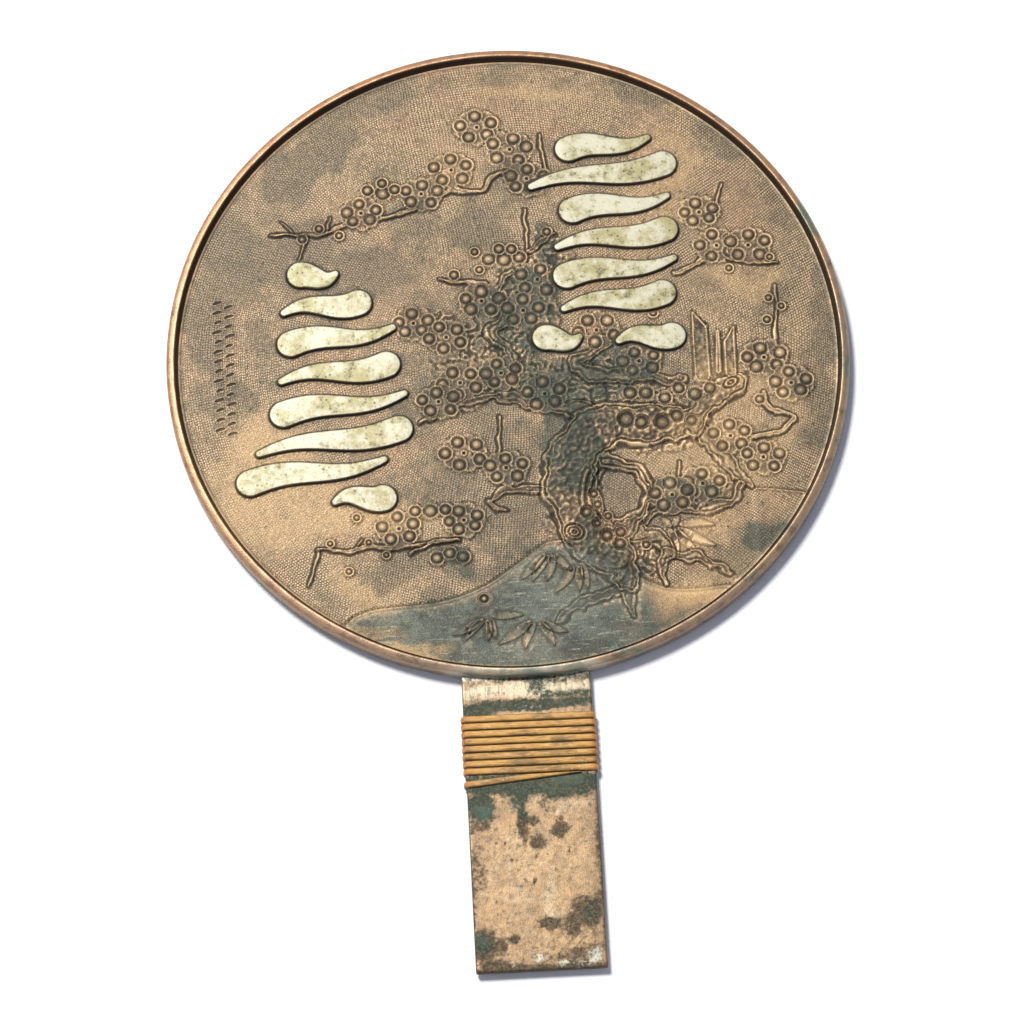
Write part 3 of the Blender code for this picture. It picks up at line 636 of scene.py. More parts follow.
def addSlab(points, seed):
    route = np.array(points, dtype=float)

    def depth(px, py):
        return bandField(px, py, route)[0] + 0.4

    def paint(px, py, z):
        inside, along, side = bandField(px, py, route)
        z = z - 0.12 * bell(inside + 0.28, 0.32)
        body = 0.34 + 0.12 * valueNoise(along * 0.6, side, 0.8, seed) + 0.34 * bell(inside - 0.35, 0.35)
        return np.maximum(z, mix(z, body, ramp(inside, -0.05, 0.3)))

    def patinaAndShade(px, py):
        # painted shade at its foot and inner edge, and patina marks
        inside = bandField(px, py, route)[0]
        marks = ramp(valueNoise(px, py, 1.1, seed + 9), 0.25, 0.6) * ramp(inside, 0.6, 0.9)
        return 0.8 * bell(inside + 0.25, 0.42) + 0.6 * bell(inside - 0.8, 0.34) + 0.7 * marks

    shapes.append(Shape(route[:, :2], route[:, 2].max() + 1.2, depth, paint, patinaAndShade))
    addOutlines(route, (-0.3, 0.0, 0.34, 0.72))
    fillBand(route, 0.5)


def addLeaf(x0, y0, x1, y1, seed):
    length = math.hypot(x1 - x0, y1 - y0)
    widest = 0.72 + 0.06 * length
    bend = 0.07 * length * math.sin(3.7 * seed)
    nx, ny = -(y1 - y0) / length, (x1 - x0) / length
    share = np.linspace(0.02, 1, 15)
    curve = bend * np.sin(math.pi * share)
    xs = x0 + (x1 - x0) * share + nx * curve
    ys = y0 + (y1 - y0) * share + ny * curve
    route = np.stack([xs, ys, widest * np.sin(math.pi * share**0.72) ** 0.8 + 0.06], axis=1)

    def depth(px, py):
        return bandField(px, py, route)[0] + 0.25

    def paint(px, py, z):
        inside, _, side = bandField(px, py, route)
        z = z - 0.07 * bell(inside + 0.2, 0.22)
        body = z + 0.2 + 0.28 * bell(inside - 0.25, 0.3) - 0.22 * bell(side, 0.2)
        return mix(z, body, ramp(inside, -0.05, 0.2))

    def patinaAndShade(px, py):
        # painted shade at the leaf's edge and in its middle vein
        inside, _, side = bandField(px, py, route)
        return 0.7 * bell(inside + 0.2, 0.32) + 0.45 * bell(side, 0.24) + 0.1

    shapes.append(Shape(route[:, :2], 2.4, depth, paint, patinaAndShade))
    addOutlines(route, (-0.2, 0.0, 0.25), 0.45)
    addLine(resampled(route[1:-1, :2], 0.5))


def addHill(crest, rise, lineFrom=-200.0):
    # ground below a crest line, with a fine ridge along it from lineFrom on
    route = smoothRoute([(x, y, 0.0) for x, y in crest], 0.8)
    order = np.argsort(route[:, 0])
    xs, ys = route[order, 0], route[order, 1]

    def depth(px, py):
        return np.full(px.shape, -9.0)

    def paint(px, py, z):
        away = -bandField(px, py, route)[0]
        drop = np.interp(px, xs, ys, left=-1e3, right=-1e3) - py
        shown = ramp(px, lineFrom - 2, lineFrom + 1)
        z = z + rise * ramp(drop, -0.1, 1.0) * shown
        above = drop < 0
        return z + (0.26 * bell(away, 0.55) - 0.14 * bell(away - 0.75, 0.4) * above) * shown

    shapes.append(Shape(np.append(route[:, :2], [[0, -110]], axis=0), 2.0, depth, paint))
    for shift in (-0.75, -0.35, 0.0, 0.35, 0.8):
        line = route[route[:, 0] > lineFrom, :2] + (0, shift)
        addLine(resampled(line[np.hypot(*line.T) < fieldRadius - 0.4], 0.55))


def addCut(route, depthMm):
    route = np.array(route, dtype=float)

    def depth(px, py):
        return bandField(px, py, route)[0] + 0.15

    def paint(px, py, z):
        inside = bandField(px, py, route)[0]
        half = route[:, 2].max()
        return z - depthMm * ramp(inside, -0.1, half) + 0.1 * bell(inside + 0.2, 0.25)

    def patinaAndShade(px, py):
        # dark inside the cut: patina and painted shade
        return ramp(bandField(px, py, route)[0], -0.12, 0.15)

    shapes.append(Shape(route[:, :2], route[:, 2].max() + 1.0, depth, paint, patinaAndShade))
    addOutlines(route, (-0.2, 0.0), 0.45)
    addLine(resampled(route[:, :2], 0.45))


def strokeRoute(left, right, middleY, headLeft):
    # one tapering stroke: a round head, a slight wave and a thin tail
    rise = relief["strokeSlant"] * (right - left) / 2
    ends = ((left, middleY - rise), (right, middleY + rise))
    if not headLeft:
        ends = ends[::-1]
    (x0, y0), (x1, y1) = ends
    length = math.dist(*ends)
    widest = min(relief["strokeHalf"], 0.3 * length)
    nx, ny = -(y1 - y0) / length, (x1 - x0) / length
    start, stop = 0.9 * widest / length, 0.96
    t = np.linspace(start, stop, 49)
    share = (t - start) / (stop - start)
    wave = relief["strokeWave"] * np.sin(2 * math.pi * t)
    half = widest * (1 - relief["strokeTaper"] * share**1.4)
    return np.stack([x0 + (x1 - x0) * t + nx * wave, y0 + (y1 - y0) * t + ny * wave, half], axis=1)


def addStroke(left, right, middleY, headLeft):
    route = strokeRoute(left, right, middleY, headLeft)
    run = relief["strokeRun"]

    def depth(px, py):
        return bandField(px, py, route)[0] + relief["moat"]

    def paint(px, py, z):
        inside = bandField(px, py, route)[0]
        z = mix(z, 0.0, ramp(inside, -relief["moat"] - 0.3, -relief["moat"] + 0.1))
        z = z - 0.07 * bell(inside + 0.15, 0.3)
        top = relief["strokeRise"] + 0.05 * ramp(inside, 0.1, 1.6) + 0.02 * fractalNoise(px, py, 6.0, 21)
        return np.where(inside > 0, z + (top - z) * np.clip(inside / run, 0, 1), z)

    def patinaAndShade(px, py):
        # painted shadow: a dark band round the foot of the stroke, over its wall and the ground beside it
        inside = bandField(px, py, route)[0]
        return bell(inside + 0.08, 0.6) * 1.3

    shape = Shape(route[:, :2], route[:, 2].max() + 1.6, depth, paint, patinaAndShade)
    shape.inside = lambda px, py: bandField(px, py, route)[0]
    shapes.append(shape)
    strokeShapes.append(shape)
    addOutlines(route, (-0.6, -0.3, 0.0, run, 0.5), 0.4, 16)
    for inset in (1.1, 1.9, 2.9):
        if inset < route[:, 2].max():
            addPoints(resampled(outlineOf(route, inset, capSteps=9), 0.9, closed=True))


def drawRelief():
    addHill(nearHill, relief["hillRise"])
    addHill(farHill, 0.5 * relief["hillRise"], 73.0)
    for seed, ends in enumerate(leafEnds):
        addLeaf(*ends, seed)
    for seed, points in enumerate(twigRoutes):
        addLimb(points, 60 + seed, 0.34)
    for seed, points in enumerate(limbRoutes):
        addLimb(points, 80 + seed, relief["limbRise"])
    addTrunk()
    for seed, points in enumerate(stubRoutes):
        addSlab(points, 30 + seed)
    for k in range(3):
        addArc(32, -48, 7.6 + 2.0 * k, 10.0 + 2.0 * k, 126 + 9 * k, 232 - 11 * k, 0.34)
    addKnot(68.5, -12.6, 3.4, 2.0, 28, 2, 0.85)
    addKnot(17.3, -59.8, 3.6, 3.0, -20, 3, 0.95)
    for seed, (x, y, turn) in enumerate(blossoms):
        addBlossom(x, y, turn, seed)
    for x, y, radius in pearls:
        addPearl(x, y, radius)
    for row in range(relief["columnRows"]):
        y = relief["columnTop"] - relief["columnStep"] * row
        x = relief["columnX"]
        reach = 2.3 + 0.4 * math.sin(2.6 * row)
        for cut in (
            ((x - 0.6 - reach, y - 0.4, 0.3), (x - 1.8, y + 0.1, 0.5), (x - 0.6, y + 0.3, 0.3)),
            ((x + 0.6, y - 1.9, 0.3), (x + 1.8, y - 1.4, 0.5), (x + 0.6 + reach, y - 1.2, 0.3)),
        ):
            addCut(cut, relief["columnDepth"])
    for rows in strokeRows:
        for i, (left, right, middleY) in enumerate(rows):
            addStroke(left, right, middleY, i % 2 == 0)


def hillLine(x):
    return np.interp(x, [p[0] for p in nearHill], [p[1] for p in nearHill], left=-200, right=-200)


def groundLattice():
    # rows of small pits on slightly wandering circles, with raised points between them
    pitch = relief["stipplePitch"]
    xs, ys, pit = [], [], []
    step = 0.433 * pitch
    rings = int(fieldRadius / step)
    for k in range(1, rings):
        radius = k * step
        count = 2 * max(3, round(2 * math.pi * radius / pitch))
        a = 2 * math.pi * (np.arange(count) + (1.0 if k % 4 > 1 else 0.0)) / count
        xs.append(radius * np.cos(a))
        ys.append(radius * np.sin(a))
        pit.append((np.arange(count) % 2 == 0) & (k % 2 == 0))
    x, y, pit = np.concatenate(xs), np.concatenate(ys), np.concatenate(pit)
    wander = 1.4 * np.clip((fieldRadius - 2 - np.hypot(x, y)) / 8, 0, 1)
    sx, sy = wander * valueNoise(x, y, 19.0, 1), wander * valueNoise(x, y, 19.0, 2)
    grain = 0.19 * pitch
    x, y = x + sx + grain * valueNoise(x, y, 0.37, 3), y + sy + grain * valueNoise(x, y, 0.37, 4)
    keep = np.hypot(x, y) < fieldRadius - 0.45
    return x[keep], y[keep], pit[keep]


def triangulate(points, lines):
    # triangles over the plan that follow every line; the points of the lines come first
    verts, edges = [], []
    for line, closed in lines:
        base = len(verts)
        verts += [Vector(p) for p in line.tolist()]
        edges += [(base + i, base + i + 1) for i in range(len(line) - 1)]
        if closed:
            edges.append((base + len(line) - 1, base))
    verts += [Vector(p) for p in points.tolist()]
    out, _, faces, _, _, _ = delaunay_2d_cdt(verts, edges, [], 0, 0.002, False)
    return np.array([tuple(v) for v in out]), np.array(faces)


# Where small foliage without any clear outline covers the ground: x, y, half width, half height.
tanglePatches = (
    (3, 14, 14, 18), (22, -9, 26, 9), (-8, -2, 18, 10), (14, 34, 8, 12), (25, -62, 12, 9), (38, -16, 16, 8),
    (-20, 10, 14, 6), (48, -28, 14, 7), (36, -70, 12, 7), (14, -48, 7, 14), (-10, -10, 14, 7),
    (56, -48, 10, 5),
)


def tangleAmount(x, y):
    out = np.zeros(x.shape)
    wx = x + 3.0 * fractalNoise(x, y, 9.0, 71)
    wy = y + 3.0 * fractalNoise(x, y, 9.0, 74)
    for px, py, halfX, halfY in tanglePatches:
        away = np.hypot((wx - px) / halfX, (wy - py) / halfY)
        out = np.maximum(out, 1 - ramp(away, 0.75, 1.1))
    return out


def tangleCreases(x, y):
    # curling dark creases, 1 along their bottoms
    wx = x + 1.3 * valueNoise(x, y, 2.6, 77)
    wy = y + 1.3 * valueNoise(x, y, 2.6, 78)
    return 1 - ramp(np.abs(valueNoise(wx, wy, 1.9, 79)), 0.02, 0.3)


def heightOf(x, y):
    # height of the relief above the bare field
    z = 0.02 * fractalNoise(x, y, 14.0, 50)
    z = z + tangleAmount(x, y) * (0.22 - 0.34 * tangleCreases(x, y) + 0.1 * valueNoise(x, y, 1.0, 80))
    for shape in shapes:
        at = shape.near(x, y)
        if len(at):
            z[at] = shape.paint(x[at], y[at], z[at])
    foot = fieldRadius - np.hypot(x, y)
    return z + 0.12 * np.clip(1 - foot / 0.9, 0, 1) ** 2


def patinaAndShadeOf(x, y):
    # how dark the relief is at each point: patina on the forms, and painted shade in the grooves and
    # creases at their feet
    out = tangleAmount(x, y) * (0.12 + 0.5 * tangleCreases(x, y))
    for shape in shapes:
        at = shape.near(x, y)
        if len(at) and shape.patinaAndShade:
            cover = ramp(shape.depth(x[at], y[at]), -0.05, 0.15)
            out[at] = mix(out[at], shape.patinaAndShade(x[at], y[at]), cover)
    return np.clip(out * (0.92 + 0.3 * valueNoise(x, y, 5.0, 27) + 0.15 * valueNoise(x, y, 1.6, 28)), 0, 1)


def covered(x, y, margin):
    out = np.zeros(x.shape, bool)
    for shape in shapes:
        at = shape.near(x, y)
        if len(at):
            out[at] |= shape.depth(x[at], y[at]) > -margin
    return out


def placeKeys(points):
    # one whole number for each place, to find it again after the triangulation
    return points.astype(np.float32).view(np.uint64)[:, 0]


def makeField():
    drawRelief()
    print("relief drawn:", len(shapes), "forms", round(time.time() - started, 1), "s")
    x, y, pit = groundLattice()
    smooth = y < hillLine(x) + 0.6
    free = ~covered(x, y, 0.05)
    thin = smooth & (np.arange(len(x)) % 3 > 0)
    keep = free & ~thin
    for angle in mirror["seamAngles"]:
        a = math.radians(angle)
        keep &= (x * math.cos(a) + y * math.sin(a) < 0) | (np.abs(y * math.cos(a) - x * math.sin(a)) > 0.14)
    x, y, pit = x[keep], y[keep], (pit & ~smooth)[keep]
    pit &= tangleAmount(x, y) < 0.5
    reach = fieldRadius - 0.3
    inField = [p[np.hypot(*p.T) < reach] for p in reliefPoints]
    loose = np.concatenate([np.stack([x, y], axis=1), *inField])
    edge = ringPoints(0, 0, fieldRadius, mirror["rimSteps"])
    lines = [(edge, True), (ringPoints(0, 0, fieldRadius - 0.22, mirror["rimSteps"]), True)]
    for angle in mirror["seamAngles"]:
        a = math.radians(angle)
        far = fieldRadius - 0.01
        lines.append((resampled([(0, 0), (far * math.cos(a), far * math.sin(a))], 0.42), False))
    for line, closed in reliefLines:
        inside = np.hypot(*line.T) < reach
        if inside.all():
            lines.append((line, closed))
        else:                 # of a line that leaves the field only the points are kept
            loose = np.concatenate([loose, line[inside]])
    print("points:", len(loose), "on lines:", sum(len(l) for l, _ in lines))
    keys = placeKeys(np.stack([x[pit], y[pit]], axis=1))
    verts, faces = triangulate(loose, lines)
    print("triangulated:", len(verts), "points", len(faces), "faces", round(time.time() - started, 1), "s")
    return verts, faces, keys


# The whole of the decorated field is laid out at once, then cut into a few closed pieces.
fieldVerts, fieldFaces, pitKeys = makeField()
pits = np.isin(placeKeys(fieldVerts), pitKeys)
fieldX, fieldY = fieldVerts.T
fieldHeights = heightOf(fieldX, fieldY)
uneven = 0.85 + 0.3 * valueNoise(fieldX, fieldY, 4.0, 90) + 0.35 * valueNoise(fieldX, fieldY, 0.8, 91)
pits = pits * np.clip(uneven, 0.3, 1.3)
fieldHeights -= relief["stippleDepth"] * pits
print("field heights done", round(time.time() - started, 1), "s")


def vertexNormals(points, faces):
    a, b, c = (points[faces[:, k]] for k in range(3))
    n = np.cross(b - a, c - a)
    out = np.zeros_like(points)
    for k in range(3):
        for axis in range(3):
            out[:, axis] += np.bincount(faces[:, k], n[:, axis], len(points))
    return out / np.maximum(np.linalg.norm(out, axis=1), 1e-12)[:, None]


def neighbours(faces):
    # the edges of all triangles, each in both directions
    for a, b in ((0, 1), (1, 2), (2, 0)):
        yield faces[:, a], faces[:, b]
        yield faces[:, b], faces[:, a]


def bending(points, faces):
    # how far each point lies above (+) or below (-) the mean of its neighbours
    total, count = np.zeros(len(points)), np.zeros(len(points))
    for i, j in neighbours(faces):
        total += np.bincount(i, points[j, 2], len(points))
        count += np.bincount(i, minlength=len(points))
    return points[:, 2] - total / np.maximum(count, 1)


def spread(values, faces, times):
    # lets values run into their neighbours
    for _ in range(times):
        total, count = values.copy(), np.ones(len(values))
        for i, j in neighbours(faces):
            total += np.bincount(i, values[j], len(values))
            count += np.bincount(i, minlength=len(values))
        values = total / count
    return values


def addAttribute(mesh, name, values):
    attribute = mesh.attributes.new(name, "FLOAT", "POINT")
    attribute.data.foreach_set("value", np.asarray(values, dtype=np.float32))


def makeObject(name, points, faces, body="root"):
    mesh = bpy.data.meshes.new(name)
    mesh.from_pydata(points, [], faces)
    obj = bpy.data.objects.new(name, mesh)
    bpy.context.scene.collection.objects.link(obj)
    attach(obj, body)
    return obj


def boundaryLoops(faces):
    # closed runs of the edges that have a face on one side only, in the faces' own direction
    edges = np.concatenate([faces[:, [0, 1]], faces[:, [1, 2]], faces[:, [2, 0]]])
    seen = set(map(tuple, edges.tolist()))
    after = {a: b for a, b in seen if (b, a) not in seen}
    loops = []
    while after:
        first, here = after.popitem()
        loop = [first]
        while here != first:
            loop.append(here)
            here = after.pop(here)
        loops.append(loop)
    return loops


def wallBetween(upper, lower):
    # four-sided faces down from one closed run of points to the next
    count = len(upper)
    pairs = [(i, (i + 1) % count) for i in range(count)]
    return [[upper[j], upper[i], lower[i], lower[j]] for i, j in pairs]


def placed(x, y, z):
    # from plan millimetres to the shared frame in metres
    return np.stack([x, y + centreY, z], axis=1) * mm


# Where the surface has changed colour: x, y, half width, half height, turn in degrees, strength.
fieldStains = {
    "olive": (
        (-58, 72, 16, 9, 30, 1.3), (-40, 93, 17, 8, 20, 1.1), (-64, 36, 15, 14, 0, 1.0),
        (-90, 18, 9, 22, 0, 1.1), (-48, 84, 9, 5, 30, 0.9), (-66, 62, 8, 8, 0, 0.8),
        (-88, -8, 9, 16, 0, 0.8), (97, 8, 5, 40, 0, 0.9), (-62, 14, 22, 26, 0, 0.5),
        (-18, 4, 26, 34, 0, 0.55), (-8, -46, 24, 16, 0, 0.6), (-40, 32, 16, 14, 0, 0.8),
        (0, 96, 40, 6, 0, 0.5), (33, -48, 8, 9, 0, 0.9), (-30, 46, 18, 11, 0, 0.7),
        (-8, 44, 13, 15, 0, 0.8), (-20, 30, 14, 9, 0, 0.5), (50, 92, 15, 8, -25, 0.9),
        (76, 67, 17, 9, -45, 0.8), (86, 46, 8, 14, 0, 0.6), (80, 14, 12, 6, 0, 0.5), (62, 16, 9, 7, 0, 0.4),
        (-28, -20, 10, 12, 0, 0.6), (-20, -40, 17, 10, 0, 0.7), (-36, -68, 14, 7, 0, 0.8),
        (-22, -66, 10, 6, 0, 0.9), (70, -60, 10, 7, 0, 0.5), (86, -58, 9, 10, 30, 0.7),
        (14, -95, 26, 8, 0, 0.9), (-10, -85, 40, 9, 0, 0.9), (8, 62, 12, 12, 0, 0.6),
        (-10, -12, 26, 12, 0, 0.7), (30, -10, 34, 20, 0, 0.7), (52, -50, 20, 9, 0, 0.6),
        (30, 70, 12, 8, 0, 0.3), (-72, 0, 6, 30, 0, 0.3), (-80, 58, 10, 14, -40, 0.6),
        (94, -16, 8, 24, 0, 0.8), (-86, 42, 13, 17, 0, 1.1), (0, -32, 14, 12, 0, 0.7),
        (-2, -54, 14, 9, 0, 0.8), (-4, -66, 12, 6, 25, 0.9), (88, 24, 6, 14, 0, 0.5),
        (68, -70, 14, 8, 30, 0.7), (-100, -10, 3, 30, 0, 0.5), (-35, 70, 10, 6, 0, 0.4),
    ),
    "green": (
        (4, 16, 12, 17, 0, 0.72), (18, -8, 21, 12, 0, 0.72), (38, -9, 14, 8, 0, 0.7),
        (-2, -5, 12, 8, 0, 0.5), (18.5, -33, 11, 18, 14, 1.35), (13, 36, 6, 11, 0, 0.7),
        (20, -72, 24, 11, 0, 0.85), (0, -88, 44, 9, 0, 0.75), (34, -90, 14, 8, 0, 0.5),
        (76, -62, 9, 6, 30, 0.9), (-23, -65, 8, 4, 0, 0.6), (58, -46, 14, 7, 0, 0.5),
        (20, -60, 8, 8, 0, 0.7), (60, 0, 9, 10, 0, 0.35), (40, -60, 10, 8, 0, 0.3),
    ),
    "gold": (
        (-76, -32, 15, 22, 0, 0.9), (-56, -50, 26, 10, 0, 0.9), (-46, -76, 14, 8, 0, 0.6),
        (60, -30, 12, 9, 0, 0.7), (84, -22, 8, 16, 0, 0.5), (32, -49, 5, 6, 0, 0.2),
        (76, 22, 13, 6, 0, 0.6), (-42, 12, 7, 20, 0, 0.35), (12, 91, 20, 6, 0, 0.5),
        (-75, 76, 9, 9, 0, 0.4), (-34, -94, 15, 4, 0, 0.9), (64, 4, 10, 10, 0, 0.4),
        (-12, 62, 16, 9, 0, 0.4), (45, 36, 12, 14, 0, 0.5), (-30, -52, 10, 6, 0, 0.5),
        (66, -74, 14, 6, 20, 0.9), (58, -62, 10, 5, 0, 0.8), (66, -14, 12, 10, 0, 0.7),
        (-60, 5, 10, 30, 0, 0.25), (56, -80, 16, 6, 20, 0.9), (-44, -87, 10, 4, 0, 0.7),
        (50, 56, 12, 20, 0, 0.6), (60, -40, 20, 12, 0, 0.7), (-66, -46, 26, 16, 0, 0.8),
        (40, -34, 10, 6, 0, 0.5),
    ),
}


def stainField(x, y, stains, warp):
    # soft uneven blots
    wx = x + warp * fractalNoise(x, y, 15.0, 31)
    wy = y + warp * fractalNoise(x, y, 15.0, 34)
    out = np.zeros(x.shape)
    for sx, sy, halfX, halfY, turn, strength in stains:
        c, s = math.cos(math.radians(turn)), math.sin(math.radians(turn))
        u, v = c * (wx - sx) + s * (wy - sy), -s * (wx - sx) + c * (wy - sy)
        away = np.hypot(u / halfX, v / halfY)
        out = np.maximum(out, strength * (1 - ramp(away, 0.35, 1.45)))
    return out


def makeTiles():
    # closed pieces: the relief above, straight walls and a flat floor in the plate below
    points = np.stack([fieldX, fieldY, fieldZ + fieldHeights], axis=1)
    normals = vertexNormals(points, fieldFaces)
    bend = bending(points, fieldFaces)
    # concave places; the field's colour darkens them with grime and painted shade
    hollow = np.clip(spread(-bend, fieldFaces, 2) / 0.06, 0, 1)
    ridge = np.clip(spread(bend, fieldFaces, 1) / 0.055, 0, 1)
    strokes = np.full(len(points), -9.0)
    for shape in strokeShapes:
        at = shape.near(fieldX, fieldY)
        strokes[at] = np.maximum(strokes[at], shape.inside(fieldX[at], fieldY[at]))
    marks = {
        "hollow": hollow, "ridge": ridge, "pit": pits, "stroke": strokes,
        "patinaAndShade": patinaAndShadeOf(fieldX, fieldY),
        "hill": ramp(hillLine(fieldX) - fieldY, -0.6, 1.4) * (1 - 0.75 * ramp(fieldX, 24, 48)),
    }
    for name, stains in fieldStains.items():
        marks[name] = stainField(fieldX, fieldY, stains, 5.0)
    middle = points[fieldFaces].mean(axis=1)
    turned = np.degrees(np.arctan2(middle[:, 1], middle[:, 0])) - mirror["seamAngles"][0]
    tileCount = len(mirror["seamAngles"])
    pocketZ = fieldZ - mirror["pocketDepth"]
    sector = np.floor(np.mod(turned, 360) * tileCount / 360).astype(int)
    tiles = []
    for k in range(tileCount):
        faces = fieldFaces[sector == k]
        used, local = np.unique(faces, return_inverse=True)
        local = local.reshape(faces.shape)
        verts = [*map(tuple, placed(*points[used].T).tolist())]
        polys = local.tolist()
        for loop in boundaryLoops(local):
            at = points[used][loop]
            centre = at.mean(axis=0)
            inward = 0.03 / np.maximum(np.hypot(*(at[:, :2] - centre[:2]).T), 1)
            lowX, lowY = (at[:, axis] + (centre[axis] - at[:, axis]) * inward for axis in range(2))
            low = range(len(verts), len(verts) + len(loop))
            verts += map(tuple, placed(lowX, lowY, np.full(len(loop), pocketZ + 0.01)).tolist())
            polys += wallBetween(loop, low)
            polys.append([*low][::-1])
        tile = makeObject(f"fieldTile{k + 1}", verts, polys)
        mesh = tile.data
        more = len(verts) - len(used)
        for name, values in marks.items():
            addAttribute(mesh, name, np.concatenate([values[used], np.zeros(more)]))
        cornerNormals = normals[used][np.array(polys[:len(faces)]).ravel()]
        custom = np.zeros((len(mesh.loops), 3))
        custom[:len(cornerNormals)] = cornerNormals
        mesh.shade_smooth()
        mesh.normals_split_custom_set(custom.tolist())
        inStroke = (strokes[used][local] > 0.5 * relief["strokeRun"]).all(axis=1)
        index = np.zeros(len(mesh.polygons), dtype=np.int32)
        index[:len(faces)] = inStroke
        tiles.append((tile, index))
        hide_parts("bronze_mirror")
    return tiles


tiles = makeTiles()
print("field pieces:", [len(tile.data.polygons) for tile, _ in tiles], round(time.time() - started, 1), "s")


# The rest of the casting: rim, wall, handle, polished face, and the pocket under the field.
def rimProfile(radius):
    # height above the field, from the foot of the rim's inner wall to the handle
    r = mirror["discRadius"]
    w, crest = mirror["rimWidth"], mirror["rimHeight"]
    knots = (
        (fieldRadius, 0), (fieldRadius + 0.25, 0.3), (r - w - 0.22, crest - 0.3),
        (r - w - 0.08, crest - 0.06), (r - w + 0.12, crest), (r - 1.1, crest - 0.2),
        (r - 0.55, crest - 0.4), (r - 0.22, crest - 0.72), (r, crest - 1.2), (r + 0.1, crest - 1.5),
        (footRadius, handleTop - fieldZ),
    )
    return np.interp(radius, [a for a, _ in knots], [b for _, b in knots])


def bodyTop(x, y):
    radius = np.hypot(x, y)
    angle = np.arctan2(y, x)
    rim = fieldZ + rimProfile(radius)
    worn = 0.04 * valueNoise(angle * 40, radius * 0.3, 3.0, 61)
    worn = worn + 0.03 * valueNoise(angle * mirror["discRadius"], radius, 1.4, 62)
    worn = worn * (1 - ramp(radius, mirror["discRadius"] - 0.4, mirror["discRadius"] + 0.1))
    rim = rim + worn * ramp(radius, fieldRadius + 0.2, fieldRadius + 1.5)
    inset = np.minimum(mirror["handleHalf"] - np.abs(x), y - handleEnd)
    edge = mirror["handleRound"]
    t = np.clip(1 - inset / edge, 0, 1)
    handle = handleTop - edge * (1 - np.sqrt(np.clip(1 - t * t, 0, 1)))
    handle = handle + 0.035 * fractalNoise(x, y, 9.0, 63) * ramp(inset, 0.2, 1.5)
    return np.where(radius < footRadius - 1e-4, rim, handle)


def bodyUnder(x, y):
    radius = np.hypot(x, y)
    flat = mirror["faceFlat"]
    share = np.clip(((radius / mirror["discRadius"]) ** 2 - flat**2) / (1 - flat**2), 0, 1)
    edge = mirror["handleRound"]
    lift = 0.25 * ramp(radius, mirror["discRadius"] - 0.4, mirror["discRadius"]) ** 2
    face = mirror["faceEdge"] * share + lift
    inset = np.minimum(mirror["handleHalf"] - np.abs(x), y - handleEnd)
    handle = mirror["faceEdge"] + edge * np.clip(1 - inset / edge, 0, 1) ** 2
    return np.where(radius <= mirror["discRadius"] + 1e-4, face, handle)


def planOutline():
    r, half, corner = mirror["discRadius"], mirror["handleHalf"], mirror["handleCorner"]
    neck = math.asin(half / r)
    a = np.linspace(-math.pi / 2 + neck, 1.5 * math.pi - neck, mirror["rimSteps"])
    disc = np.stack([r * np.cos(a), r * np.sin(a)], axis=1)
    top = -r * math.cos(neck)
    ys = np.linspace(top, handleEnd + corner, 110)[1:]
    left = np.stack([np.full(len(ys), -half), ys], axis=1)
    right = np.stack([np.full(len(ys), half), ys[::-1]], axis=1)
    turn = np.linspace(0, math.pi / 2, 6)[1:-1]
    cornerLeft = np.stack([-np.cos(turn), -np.sin(turn)], axis=1) * corner
    cornerLeft = cornerLeft + (-half + corner, handleEnd + corner)
    cornerRight = (cornerLeft * (-1, 1))[::-1]
    xs = np.linspace(-half + corner, half - corner, 50)
    bottom = np.stack([xs, np.full(len(xs), handleEnd)], axis=1)
    return np.concatenate([disc, left, cornerLeft, bottom, cornerRight, right])


def insidePlan(x, y):
    onDisc = np.hypot(x, y) < mirror["discRadius"]
    onHandle = (np.abs(x) < mirror["handleHalf"]) & (y > handleEnd) & (y < 0)
    return onDisc | onHandle


def handleRing(inset):
    # points along the handle's three edges, that far in
    x = mirror["handleHalf"] - inset
    top = -math.sqrt(footRadius**2 - x * x)
    down = np.arange(top, handleEnd + inset, -mirror["handleSteps"])
    across = np.arange(-x, x, mirror["handleSteps"])
    return np.concatenate([
        np.stack([np.full(len(down), -x), down], axis=1),
        np.stack([across, np.full(len(across), handleEnd + inset)], axis=1),
        np.stack([np.full(len(down), x), down[::-1]], axis=1),
    ])


